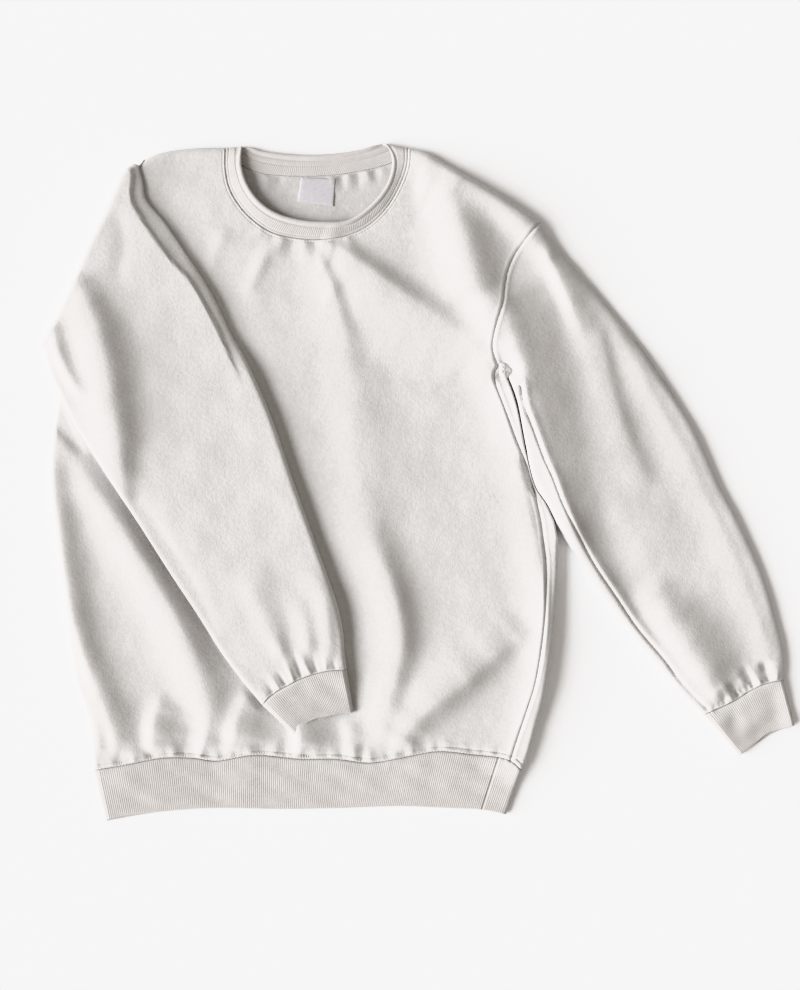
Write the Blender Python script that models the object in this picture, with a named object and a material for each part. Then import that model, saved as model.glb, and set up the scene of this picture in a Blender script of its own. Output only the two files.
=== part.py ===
"""Crewneck sweatshirt, laid flat on its back, with the wearer's right sleeve folded over the front.

Frame: +Z up off the surface that it lies on, +Y from the hem to the neck, +X towards the sleeve
that lies straight.  Sizes are millimetres and are scaled to metres once, when a mesh is made.

Every panel is one wall of cloth.  Its outer side is a height over the plan: two layers lie on each
other, turn over in a half ellipse along each outline and rise in folds between.
"""
import bpy
import numpy as np
from mathutils.geometry import delaunay_2d_cdt

MM = 0.001

# Cloth
FLEECE = 1.8            # wall of brushed fleece
RIB_CLOTH = 2.4         # wall of doubled rib
RIB_PITCH = 2.5         # one rib and one valley
RIB_RISE = 0.5          # a rib's height over its valley
SEAM_GAP = 0.3          # between two pieces at a seam
SIDE_GAP = 1.0          # between the straight sleeve and the body beside it
LAP_GAP = 1.4           # between the folded sleeve and what it lies on

# How the layers lie
LIE = 6.0               # top of two layers that lie still
EDGE_RUN = 6.5          # how far in from the outline a turned edge reaches
EDGE_STEPS = (0.8, 3.0, 6.5)
PUFF = 2.0              # extra height beside a turned edge
PUFF_RUN = 28.0
LEAST_TOP = 2 * FLEECE + 0.5
OVER_RISE = 7.6         # the folded sleeve's two layers, above what they lie on
OVER_PUFF = 1.2
FOLD_RUN = 6.0          # how far the folded sleeve's outer layer turns out past its inner one
LIP_RUN = 5.0           # width of the step where the folded sleeve's lower roll shows
LIP_DROP = 3.4

# Bands
HEM_RISE = 6.6          # height of the hem band's two walls at its open edge
CUFF_RISE = 6.4
NECK_FREE_FRONT = 8.2   # height of the neckband's free edge at the front
NECK_ROLL = 1.5         # how far the rolled edge stands over the rib
NECK_ROLL_WIDTH = 5.5
LABEL_THICK = 1.0
RIB_START = 0.06        # share of a band's length where its ribs start and end
INNER_SETBACK = 0.05    # share of a band's length that its inner side starts back from the seam

# Mesh steps
FRONT_STEP = 23.0
BACK_STEP = 62.0
SLEEVE_STEP = 20.0
OUTLINE_STEP = 18.0
BAND_STEP = 24.0

# Plan outlines, seen from above.  Each is the few points that a smooth curve runs through.
LEFT_SIDE = ((-340, -301), (-343, -262), (-350, -232), (-357, -212), (-363, -180), (-371, -120),
             (-380, -54), (-385, -10), (-384, 35), (-379, 72), (-372, 105), (-366, 127))
LEFT_ARMHOLE = ((-366, 127), (-350, 175), (-328, 228), (-306, 285), (-294, 322), (-287, 339))
LEFT_SHOULDER = ((-287, 339), (-273, 345), (-252, 349), (-225, 351), (-202, 351))
FRONT_NECK = ((-202, 351), (-202, 329), (-198, 309), (-188, 291), (-173, 275), (-153, 262),
              (-126, 256), (-100, 255), (-75, 259), (-53, 269), (-33, 288), (-19, 312),
              (-12, 332), (-11, 351))
BACK_NECK = ((-202, 351), (-193, 338), (-182, 331), (-168, 326), (-150, 323), (-117, 322),
             (-82, 324), (-53, 329), (-33, 334), (-18, 341), (-11, 351))
RIGHT_SHOULDER = ((-11, 351), (7, 347), (29, 334), (53, 320), (74, 308), (96, 295), (115, 282),
                  (127, 272))
RIGHT_ARMHOLE = ((91, 116), (83, 122), (77, 140), (78, 153), (82, 169), (88, 188), (90, 204),
                 (94, 223), (101, 239), (112, 255), (127, 272))
SIDE_SEAM = ((96, -290), (104, -265), (112, -241), (121, -212), (127, -180), (131, -148),
             (133, -112), (133, -81), (131, -64), (128, -40), (122, -13), (114, 16), (102, 45),
             (89, 80), (80, 105), (79, 114), (83, 122))
LOWER_RIGHT_SIDE = ((108, -300), (113, -290), (117, -277), (123, -255), (131, -228), (137, -193),
                    (141, -166), (144, -126), (146, -86), (146, -60))
HEM_SEAM = ((-340, -301), (-305, -295), (-268, -288), (-236, -288), (-212, -291), (-172, -285),
            (-123, -289), (-86, -289), (-51, -293), (-19, -288), (21, -281), (55, -284),
            (96, -290))
HEM_CORNER = (108, -300)        # the seam goes on to here, under the strip of the back panel
HEM_EDGE = ((-328, -354), (-289, -347), (-251, -342), (-212, -340), (-144, -341), (-82, -340),
            (-19, -338), (34, -340), (69, -342), (92, -347))
STRAIGHT_OUTER = ((127, 272), (141, 252), (163, 225), (184, 201), (206, 175), (227, 148),
                  (248, 118), (270, 86), (291, 51), (315, -2), (334, -38), (350, -72),
                  (364, -107), (374, -142), (381, -169), (383, -193), (382, -206))
STRAIGHT_INNER = ((91, 116), (95, 105), (102, 84), (107, 61), (115, 22), (123, -5), (134, -22),
                  (144, -43), (163, -72), (184, -105), (208, -137), (232, -169), (259, -201),
                  (281, -225), (299, -243))
STRAIGHT_CUFF_SEAM = ((299, -243), (329, -229), (350, -216), (366, -209), (382, -206))
STRAIGHT_CUFF_EDGE = ((335, -285), (356, -272), (369, -263), (394, -253))
FOLD_LINE = ((-396, 143), (-379, 172), (-367, 196), (-346, 247), (-332, 276), (-319, 303),
             (-311, 322), (-299, 335))
FOLDED_OUTER = ((-384, 115), (-373, 90), (-361, 64), (-346, 40), (-323, 4), (-289, -48),
                (-263, -89), (-230, -139), (-204, -180), (-182, -209), (-163, -232))
FOLDED_INNER = ((-288, 314), (-285, 297), (-265, 272), (-244, 241), (-225, 213), (-211, 188),
                (-195, 154), (-182, 132), (-156, 75), (-131, 3), (-107, -64), (-85, -126),
                (-79, -153), (-77, -177), (-75, -194))
FOLDED_LIP = ((-300, 338), (-297, 317), (-298, 296), (-285, 272), (-261, 238), (-236, 210),
              (-213, 170), (-197, 135), (-180, 95))
FOLDED_CUFF_SEAM = ((-163, -232), (-156, -224), (-147, -217), (-134, -210), (-120, -203),
                    (-96, -196), (-75, -194))
FOLDED_CUFF_EDGE = ((-129, -264), (-121, -257), (-112, -251), (-97, -245), (-81, -240),
                    (-68, -239))
NECK_FREE = ((-185, 353), (-185, 332), (-179, 312), (-166, 294), (-148, 282), (-123, 275),
             (-97, 273), (-73, 275), (-53, 288), (-35, 309), (-28, 329), (-29, 345), (-36, 356))
BACK_FREE = ((-185, 353), (-175, 352), (-166, 349), (-147, 346), (-112, 344), (-82, 346),
             (-60, 350), (-47, 354), (-36, 356))
LABEL_CORNERS = ((-127, 295), (-89, 290), (-87, 317), (-123, 318))

# Folds: height, width on the left of the path and on its right (looking along it), then the path.
# A height below nought is a trough.  Each fades out towards both ends.
BODY_FOLDS = (
    # height, left, right, path
    (5.5, 13, 34, ((-98, 246), (-62, 218), (-25, 186), (12, 160), (54, 142))),       # neck to arm
    (-2.2, 18, 14, ((-86, 252), (-45, 234), (-10, 206), (30, 178), (62, 166))),
    (5.0, 16, 22, ((0, 308), (34, 286), (54, 256), (64, 214), (68, 170))),           # over the chest
    (-2.0, 12, 14, ((28, 318), (62, 292), (76, 258), (82, 216))),
    (3.2, 26, 14, ((-112, 252), (-84, 190), (-74, 135), (-66, 85), (-60, 20))),      # from the neck
    (2.6, 12, 18, ((-150, 250), (-172, 222), (-184, 190))),
    (6.0, 24, 16, ((-58, 0), (-38, -68), (-18, -124), (-16, -175), (-35, -228), (-42, -276))),
    (-2.5, 20, 16, ((-34, -22), (-6, -100), (6, -150), (-8, -220), (-20, -268))),
    (5.6, 12, 30, ((118, -152), (76, -184), (30, -218), (2, -254), (-12, -282))),    # low right
    (7.0, 14, 26, ((-356, 22), (-318, -50), (-282, -112), (-250, -166), (-224, -218), (-212, -270))),
    (-2.2, 14, 16, ((-362, 0), (-352, -80), (-336, -165), (-312, -230), (-300, -276))),
    (4.0, 18, 12, ((-252, -232), (-248, -262), (-250, -284))),
    (3.4, 26, 26, ((60, 130), (72, 60), (92, -10), (108, -70), (112, -130))),        # side seam
    (5.0, 14, 26, ((92, 192), (108, 150), (128, 118), (142, 66), (152, 14), (160, -40))),
    (4.0, 12, 18, ((136, 214), (142, 196), (150, 150), (166, 110), (182, 60))),
    (4.2, 20, 22, ((190, 172), (214, 118), (232, 60), (250, 4), (266, -46))),
    (5.2, 16, 22, ((168, 20), (190, -50), (212, -100), (240, -140), (262, -164))),
    (4.8, 14, 18, ((250, -118), (284, -144), (308, -172), (326, -204))),
)
OVER_FOLDS = (
    (5.0, 22, 12, ((-352, 214), (-334, 192), (-318, 160), (-308, 120), (-306, 60), (-308, 10))),
    (-2.0, 12, 12, ((-350, 196), (-344, 150), (-330, 96))),
    (3.2, 18, 18, ((-286, 268), (-268, 200), (-248, 130), (-232, 60), (-214, -10))),
    (3.0, 16, 12, ((-166, -140), (-150, -170), (-140, -196))),
    (3.0, 14, 14, ((-128, -120), (-112, -150), (-108, -182))),
)

# Puckers where a panel is eased into a band: count, height, reach from the seam, seam points
HEM_PUCKERS = (34, 2.0, 24.0)
CUFF_PUCKERS = (6, 2.6, 30.0)
NECK_PUCKERS = (8, 1.2, 20.0)
NECK_PUCKER_SPAN = ((-168, 271), (-126, 256), (-100, 255), (-70, 260))
STRAIGHT_PUCKER_SPAN = ((320, -232), (350, -216), (366, -209), (376, -207))
FOLDED_PUCKER_SPAN = ((-160, -229), (-147, -217), (-120, -203), (-84, -195))


# --------------------------------------------------------------------------- curves in plan

def smooth(points, per_span=8):
    """Points along a centripetal Catmull-Rom curve through the given ones."""
    given = np.array(points, float)
    ends = np.vstack([2 * given[0] - given[1], given, 2 * given[-1] - given[-2]])
    out = []
    for before, start, stop, after in zip(ends, ends[1:], ends[2:], ends[3:]):
        gap_in, gap, gap_out = (np.linalg.norm(step) ** 0.5
                                for step in (start - before, stop - start, after - stop))
        lead_in = gap * ((start - before) / gap_in - (stop - before) / (gap_in + gap)
                         + (stop - start) / gap)
        lead_out = gap * ((stop - start) / gap - (after - start) / (gap + gap_out)
                          + (after - stop) / gap_out)
        t = np.linspace(0, 1, per_span, endpoint=False)[:, None]
        out.append((2 * t**3 - 3 * t**2 + 1) * start + (t**3 - 2 * t**2 + t) * lead_in
                   + (3 * t**2 - 2 * t**3) * stop + (t**3 - t**2) * lead_out)
    return np.vstack(out + [given[-1:]])


def run_of(line):
    """Distance from the start of a line to each of its points."""
    return np.concatenate([[0], np.cumsum(np.linalg.norm(np.diff(line, axis=0), axis=1))])


def along(line, distances):
    """Points at these distances along a line."""
    run = run_of(line)
    return np.stack([np.interp(distances, run, line[:, k]) for k in range(line.shape[1])], axis=1)


def spaced(length, step, turned_start=False, turned_end=False):
    """Distances from 0 to length about a step apart, closer where the line meets a turned edge."""
    low = EDGE_STEPS[-1] if turned_start else 0.0
    high = length - (EDGE_STEPS[-1] if turned_end else 0.0)
    middle = np.linspace(low, high, max(2, int(round((high - low) / step)) + 1))
    start = [0.0, *EDGE_STEPS[:-1]] if turned_start else []
    end = [length - d for d in EDGE_STEPS[-2::-1]] + [length] if turned_end else []
    return np.array([*start, *middle, *end])


def stepped(points, step, turned_start=False, turned_end=False):
    """A smooth curve through the points, with a point about every step."""
    line = smooth(points)
    return along(line, spaced(run_of(line)[-1], step, turned_start, turned_end))


def nearest(spots, line):
    """For each spot: distance to the line, which side of it (+1 left), and how far along, 0 to 1."""
    start, step = line[:-1], np.diff(line, axis=0)
    length = np.linalg.norm(step, axis=1)
    offset = spots[:, None, :] - start[None]
    t = np.clip((offset * step).sum(2) / length**2, 0, 1)
    away = offset - t[..., None] * step[None]
    gap = np.linalg.norm(away, axis=2)
    best = gap.argmin(1)
    row = np.arange(len(spots))
    side = np.sign(step[best, 0] * offset[row, best, 1] - step[best, 1] * offset[row, best, 0])
    run = run_of(line)
    return gap[row, best], side, (run[best] + t[row, best] * length[best]) / run[-1]


def distance_to(spots, lines):
    return np.min([nearest(spots, line)[0] for line in lines], axis=0)


def inside(spots, ring):
    """Whether each spot lies inside a closed ring of plan points."""
    x, y = spots[:, 0][:, None], spots[:, 1][:, None]
    ax, ay = ring[:, 0], ring[:, 1]
    bx, by = np.roll(ax, -1), np.roll(ay, -1)
    rise = np.where(by == ay, 1e-9, by - ay)
    crossing = ((ay > y) != (by > y)) & (x < (bx - ax) * (y - ay) / rise + ax)
    return crossing.sum(1) % 2 == 1


# --------------------------------------------------------------------------- heights over the plan

def dome(distance, run):
    """Quarter ellipse: 0 at an edge, 1 from run inwards."""
    return np.sqrt(1 - (1 - np.clip(distance / run, 0, 1)) ** 2)


def ease(t):
    t = np.clip(t, 0, 1)
    return t * t * (3 - 2 * t)


def at_least(height, floor, blend=1.0):
    return 0.5 * (height + floor + np.sqrt((height - floor) ** 2 + blend**2))


def folds(spots, table):
    total = np.zeros(len(spots))
    for height, left, right, path in table:
        gap, side, t = nearest(spots, smooth(path, 4))
        width = np.where(side > 0, left, right)
        fade = ease(t / 0.25) * ease((1 - t) / 0.25)
        total += height * fade * np.exp(-(gap / width) ** 2)
    return total


def puckers(spots, seam, count, height, reach):
    """Short ridges on the left of a seam, that start just off it and fade by their reach."""
    gap, side, t = nearest(spots, seam)
    rise = (side > 0) * ease(gap / 5.0) * ease((reach - gap) / (0.7 * reach))
    uneven = 0.75 + 0.25 * np.sin(11.0 * t + 1.3)
    inside_span = ease(t / 0.02) * ease((1 - t) / 0.02)
    return height * uneven * rise * inside_span * (0.5 - 0.5 * np.cos(2 * np.pi * count * t))


def fold_inner_line():
    """The line that the folded sleeve turns about, just inside its fold."""
    line = smooth(FOLD_LINE)
    chord = line[-1] - line[0]
    inward = np.array([chord[1], -chord[0]]) / np.linalg.norm(chord)
    return line + FOLD_RUN * inward


FOLD_INNER = fold_inner_line()
BODY_RIGHT = np.vstack([smooth(LOWER_RIGHT_SIDE),
                        smooth(STRAIGHT_INNER[:8])[::-1][1:] - (SIDE_GAP, 0)])
UNDER_EDGES = (
    smooth(LEFT_SIDE), smooth(LEFT_SHOULDER), smooth(RIGHT_SHOULDER), BODY_RIGHT,
    smooth(STRAIGHT_OUTER), smooth(STRAIGHT_INNER),
    np.array([LEFT_ARMHOLE[0], FOLD_INNER[0]]), np.array([LEFT_ARMHOLE[-1], FOLD_INNER[-1]]))
OVER_EDGES = (
    smooth((tuple(FOLD_INNER[0]), *FOLDED_OUTER)), smooth((tuple(FOLD_INNER[-1]), *FOLDED_INNER)))
FOLDED_OUTLINE = np.vstack([OVER_EDGES[0], OVER_EDGES[1][::-1]])
HEM_LINE = smooth((*HEM_SEAM, HEM_CORNER))
HEM_SPLIT = run_of(HEM_LINE)[-9]        # where the side seam meets the hem


def under_full(spots):
    """Height of the body and the straight sleeve, before their turned edges."""
    edge = distance_to(spots, UNDER_EDGES)
    covered = np.where(inside(spots, FOLDED_OUTLINE), 1.0,
                       1 - ease(distance_to(spots, [FOLDED_OUTLINE]) / 14))
    height = LIE + PUFF * np.exp(-(edge / PUFF_RUN) ** 2)
    height += (1 - covered) * folds(spots, BODY_FOLDS)
    height += puckers(spots, HEM_LINE, *HEM_PUCKERS)
    height += puckers(spots, smooth(NECK_PUCKER_SPAN), *NECK_PUCKERS)
    height += puckers(spots, smooth(STRAIGHT_PUCKER_SPAN), *CUFF_PUCKERS)
    return at_least(height, LEAST_TOP), dome(edge, EDGE_RUN)


def under_top(spots):
    full, turn = under_full(spots)
    return full / 2 * (1 + turn)


def under_bottom(spots):
    full, turn = under_full(spots)
    return full / 2 * (1 - turn)


def over_layers(spots):
    """Heights of the folded sleeve's underside and top, before its turned edges."""
    below = under_full(spots)[0] + LAP_GAP
    edge = distance_to(spots, OVER_EDGES)
    top = LIE + LAP_GAP + OVER_RISE + OVER_PUFF * np.exp(-(edge / PUFF_RUN) ** 2)
    top += folds(spots, OVER_FOLDS)
    top += puckers(spots, smooth(FOLDED_PUCKER_SPAN), *CUFF_PUCKERS)
    gap, side, t = nearest(spots, smooth(FOLDED_LIP))
    past_lip = np.where(side > 0, ease(gap / LIP_RUN), 0) * ease((1 - t) / 0.3)
    top -= LIP_DROP * past_lip
    return below, at_least(top, below + LEAST_TOP)


# --------------------------------------------------------------------------- solids from skins

def unit(vectors):
    return vectors / np.maximum(np.linalg.norm(vectors, axis=-1, keepdims=True), 1e-12)


def point_normals(points, faces):
    normals = np.zeros_like(points)
    for face in faces:
        corners = points[list(face)]
        area = np.zeros(3)
        for k in range(1, len(face) - 1):
            area += np.cross(corners[k] - corners[0], corners[k + 1] - corners[0])
        for corner in face:
            normals[corner] += area
    return unit(normals)


def make_object(name, points, faces, finish):
    mesh = bpy.data.meshes.new(name)
    mesh.from_pydata((np.asarray(points) * MM).tolist(), [], [list(face) for face in faces])
    mesh.validate()
    mesh.update()
    mesh.shade_smooth()
    mesh.materials.append(finish)
    thing = bpy.data.objects.new(name, mesh)
    bpy.context.scene.collection.objects.link(thing)
    return thing


def walled(points, faces, wall, layer, level=(), seams=None):
    """Close an open skin into a wall: its outer side, an inner side a wall in, and its rims.

    layer is 1 for points of the upper of two layers and -1 for the lower, whose insides never
    meet.  level holds points on the middle of a turned edge, where the wall points straight in.
    seams gives the plan directions of the seams that a point lies on: its rim stays square.
    """
    faces = [(face[0], *pair) for face in faces for pair in zip(face[1:], face[2:])]
    normals = point_normals(points, faces)
    level = set(level)
    for index, directions in (seams or {}).items():
        across = [np.array([y, -x, 0.0]) for x, y in directions]
        if len(across) == 1 and index in level:
            normals[index] = [-directions[0][0], -directions[0][1], 0.0]
        elif len(across) == 1:
            normals[index] -= normals[index].dot(across[0]) * across[0]
        elif index not in level:
            normals[index] *= (0, 0, 1)
    for index in level:
        normals[index, 2] = 0.0
    normals = unit(normals)
    inner = points - wall * normals
    middle = under_full(inner[:, :2])[0] / 2
    free = np.array([k not in level for k in range(len(points))])
    inner[:, 2] = np.where(free & (layer > 0), np.maximum(inner[:, 2], middle + 0.2), inner[:, 2])
    inner[:, 2] = np.where(free & (layer < 0), np.minimum(inner[:, 2], middle - 0.2), inner[:, 2])
    count = len(points)
    closed = [tuple(face) for face in faces]
    closed += [tuple(corner + count for corner in reversed(face)) for face in faces]
    sides = {(start, stop) for face in faces for start, stop in zip(face, (*face[1:], face[0]))}
    for start, stop in sorted(sides):
        if (stop, start) not in sides:
            closed.append((stop, start, start + count, stop + count))
    return np.vstack([points, inner]), closed


def plan_directions(ring):
    """Unit direction along a closed ring at each of its points."""
    return unit(np.roll(ring, -1, axis=0) - np.roll(ring, 1, axis=0))


def fill(ring, turned, step, extra=()):
    """Triangles over a closed plan ring.  Its own points come first, in order."""
    turned = np.asarray(turned)
    edge_points = ring[turned]
    direction = plan_directions(ring)[turned]
    inward = np.stack([-direction[:, 1], direction[:, 0]], axis=1)
    wanted = []
    for gap in EDGE_STEPS:
        row = edge_points + gap * inward
        keep = inside(row, ring) & (distance_to(row, [np.vstack([ring, ring[:1]])]) > 0.85 * gap)
        wanted.append(row[keep])
    low, high = ring.min(0), ring.max(0)
    rows = np.arange(low[1], high[1], step * 0.866)
    grid = np.array([(x + (k % 2) * step / 2, y) for k, y in enumerate(rows)
                     for x in np.arange(low[0], high[0], step)])
    near_turn = distance_to(grid, [edge_points]) if len(edge_points) > 1 else np.full(len(grid), 1e3)
    room = distance_to(grid, [np.vstack([ring, ring[:1]])])
    keep = inside(grid, ring) & (room > 0.55 * step) & (near_turn > EDGE_STEPS[-1] + 0.45 * step)
    extra = np.array(extra, float).reshape(-1, 2)
    if len(extra):
        extra = extra[inside(extra, ring)]
        keep &= np.min(np.linalg.norm(grid[:, None] - extra[None], axis=2), axis=1) > 0.5 * step
    spots = np.vstack([ring, *wanted, extra, grid[keep]])
    count = len(ring)
    result = delaunay_2d_cdt([tuple(spot) for spot in spots], [], [list(range(count))], 1, 1e-5)
    source = [group[0] for group in result[3]]
    triangles = [tuple(source[corner] for corner in face) for face in result[2]]
    return spots, triangles


def pucker_spots(seam, count, reach, rows=(0.25, 0.7)):
    """Two rows of points that catch the crest and the valley of each pucker."""
    run = run_of(seam)[-1]
    places = along(seam, np.linspace(0, run, 2 * count + 1))
    ahead = along(seam, np.linspace(0, run, 2 * count + 1) + 0.5)
    behind = along(seam, np.linspace(0, run, 2 * count + 1) - 0.5)
    direction = unit(ahead - behind)
    inward = np.stack([-direction[:, 1], direction[:, 0]], axis=1)
    return np.vstack([places + share * reach * inward for share in rows])


# --------------------------------------------------------------------------- panels

def joined(*runs):
    """One closed ring of plan points from (points, side) runs that meet end to end.

    side is None on a turned edge.  On a seam it is the way to this piece's side of it, and the
    run is moved half the seam's gap that way.  The places of each run's points in the ring come
    next, and then the plan directions of the seams through each point, at a run's ends into it.
    """
    ring, places, seams = [], [], {}
    shift = [np.zeros(2) if side is None else 0.55 * SEAM_GAP * np.array(side, float)
             for _, side in runs]
    total = sum(len(points) - 1 for points, _ in runs)
    for number, (points, side) in enumerate(runs):
        moved = np.array(points, float) + shift[number]
        moved[0] += shift[number - 1]
        place = [(len(ring) + k) % total for k in range(len(points))]
        ring.extend(moved[:-1])
        places.append(place)
        if side is not None:
            directions = unit(np.gradient(points, axis=0))
            directions[-1] *= -1
            for index, direction in zip(place, directions):
                seams.setdefault(index, []).append(direction)
    return np.array(ring), places, seams


HEM_WIDTH = run_of(HEM_LINE)[-1]
HEM_MARKS = spaced(HEM_SPLIT, 6.6, turned_start=True)
HEM_UNDER_MARKS = spaced(HEM_WIDTH, BAND_STEP, True, True)
HEM_RUN = along(HEM_LINE, HEM_MARKS)
HEM_CORNER_RUN = along(HEM_LINE, [HEM_SPLIT, HEM_WIDTH])
HEM_UNDER_RUN = along(HEM_LINE, HEM_UNDER_MARKS)
SIDE_RUN = stepped(SIDE_SEAM, OUTLINE_STEP)
ARM_RUN = stepped(RIGHT_ARMHOLE[1:], OUTLINE_STEP, turned_end=True)
CROTCH_RUN = stepped(RIGHT_ARMHOLE[:2], OUTLINE_STEP, turned_start=True)
RIGHT_SHOULDER_RUN = stepped(RIGHT_SHOULDER, OUTLINE_STEP, turned_start=False)
NECK_RUN = stepped(FRONT_NECK, 11.0, True, True)
BACK_NECK_RUN = stepped(BACK_NECK, 11.0, True, True)
LEFT_SHOULDER_RUN = stepped(LEFT_SHOULDER, OUTLINE_STEP)
LEFT_ARM_RUN = stepped(LEFT_ARMHOLE, BAND_STEP, True, True)
LEFT_SIDE_RUN = stepped(LEFT_SIDE, OUTLINE_STEP)
RIGHT_SIDE_RUN = along(BODY_RIGHT, spaced(run_of(BODY_RIGHT)[-1], OUTLINE_STEP))
LEFT, RIGHT, UP, STILL = (-1, 0), (1, 0), (0, 1), (0, 0)
SIDEWAYS_UP, SIDEWAYS_DOWN = (0.9, 0.3), (-0.9, -0.3)


def kept(points, faces, *marks):
    """Only the points that faces use, renumbered, with marks (sets or dicts of point numbers)."""
    used = sorted({corner for face in faces for corner in face})
    order = {old: new for new, old in enumerate(used)}
    faces = [tuple(order[corner] for corner in face) for face in faces]
    out = []
    for mark in marks:
        if isinstance(mark, dict):
            out.append({order[k]: value for k, value in mark.items() if k in order})
        else:
            out.append({order[k] for k in mark if k in order})
    return points[used], faces, *out


def front_panel():
    """The panel on top: hem, side seam, straight armhole, shoulders, neck, folded armhole, side."""
    ring, places, seams = joined(
        (HEM_RUN, UP), (SIDE_RUN, LEFT), (ARM_RUN, SIDEWAYS_DOWN), (RIGHT_SHOULDER_RUN[::-1], None),
        (NECK_RUN[::-1], STILL), (LEFT_SHOULDER_RUN[::-1], None), (LEFT_ARM_RUN[::-1], RIGHT),
        (LEFT_SIDE_RUN[::-1], None))
    turned = {*places[3], *places[5], *places[7]}
    extra = np.vstack([
        pucker_spots(HEM_LINE, HEM_PUCKERS[0], HEM_PUCKERS[2]),
        pucker_spots(smooth(NECK_PUCKER_SPAN), NECK_PUCKERS[0], -NECK_PUCKERS[2])])
    spots, triangles = fill(ring, sorted(turned), FRONT_STEP, extra)
    height = under_top(spots)
    split = sorted(turned)
    height[split] = under_full(spots[split])[0] / 2 + SEAM_GAP / 2
    points, faces, turned, seams = kept(np.column_stack([spots, height]), triangles, turned, seams)
    return walled(points, faces, FLEECE, np.ones(len(points)), turned, seams)


def back_panel():
    """The panel on the floor, with the strip that wraps round its right side to the side seam."""
    ring, places, seams = joined(
        (HEM_UNDER_RUN, UP), (RIGHT_SIDE_RUN, None), (CROTCH_RUN, LEFT), (ARM_RUN, SIDEWAYS_DOWN),
        (RIGHT_SHOULDER_RUN[::-1], None), (BACK_NECK_RUN[::-1], STILL),
        (LEFT_SHOULDER_RUN[::-1], None), (LEFT_ARM_RUN[::-1], RIGHT), (LEFT_SIDE_RUN[::-1], None))
    right = places[1]
    split = {*places[4], *places[6], *places[8]}
    spots, triangles = fill(ring, sorted({*split, *right}), BACK_STEP)
    height = under_bottom(spots)
    halved = sorted(split)
    height[halved] = under_full(spots[halved])[0] / 2 - SEAM_GAP / 2
    height[right] = under_full(spots[right])[0] / 2
    for shared in sorted({*places[2]} & {*places[3]}):
        seams[shared] = seams[shared][:1]
    points = np.column_stack([spots, height])
    faces = [face[::-1] for face in triangles]

    strip, where, strip_seams = joined(
        (SIDE_RUN[::-1], RIGHT), (HEM_CORNER_RUN, UP), (RIGHT_SIDE_RUN, None), (CROTCH_RUN, LEFT))
    more, strip_triangles = fill(strip, sorted(where[2]), OUTLINE_STEP)
    renumber = {k: len(points) + k for k in range(len(more))}
    renumber.update(zip(where[2], right))
    seams.update({renumber[k]: v for k, v in strip_seams.items() if k not in where[2]})
    upper = {k for k in renumber.values() if k not in right}
    points = np.vstack([points, np.column_stack([more, under_top(more)])])
    faces += [tuple(renumber[corner] for corner in face) for face in strip_triangles]
    points, faces, level, upper, seams = kept(points, faces, {*split, *right}, upper, seams)
    layer = np.array([1 if k in upper else -1 for k in range(len(points))])
    return walled(points, faces, FLEECE, layer, level, seams)


def straight_sleeve():
    """A flattened tube from the armhole to the cuff."""
    outer = stepped(STRAIGHT_OUTER, OUTLINE_STEP)
    inner = stepped(STRAIGHT_INNER, OUTLINE_STEP)
    cuff = stepped(STRAIGHT_CUFF_SEAM, 8.0, True, True)
    ring, places, seams = joined(
        (inner, None), (cuff, UP), (outer[::-1], None), (ARM_RUN[::-1], SIDEWAYS_UP),
        (CROTCH_RUN[::-1], RIGHT))
    turned = sorted({*places[0], *places[2]})
    for shared in sorted({*places[3]} & {*places[4]}):
        seams[shared] = seams[shared][:1]
    del seams[places[0][0]]         # the cloth goes on round this corner, past the seam's end
    extra = pucker_spots(smooth(STRAIGHT_PUCKER_SPAN), CUFF_PUCKERS[0], CUFF_PUCKERS[2])
    top_spots, top_faces = fill(ring, turned, SLEEVE_STEP, extra)
    low_spots, low_faces = fill(ring, turned, BACK_STEP)
    renumber = {k: len(top_spots) + k for k in range(len(low_spots))}
    renumber.update({k: k for k in turned})
    top_height = under_top(top_spots)
    top_height[turned] = under_full(top_spots[turned])[0] / 2
    points = np.vstack([np.column_stack([top_spots, top_height]),
                        np.column_stack([low_spots, under_bottom(low_spots)])])
    faces = list(top_faces) + [tuple(renumber[k] for k in face[::-1]) for face in low_faces]
    seams.update({renumber[k]: value for k, value in list(seams.items())})
    upper = set(range(len(top_spots)))
    points, faces, level, upper, seams = kept(points, faces, set(turned), upper, seams)
    layer = np.array([1 if k in upper else -1 for k in range(len(points))])
    return walled(points, faces, FLEECE, layer, level, seams)


FOLDED_SHARES = run_of(LEFT_ARM_RUN) / run_of(LEFT_ARM_RUN)[-1]


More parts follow.
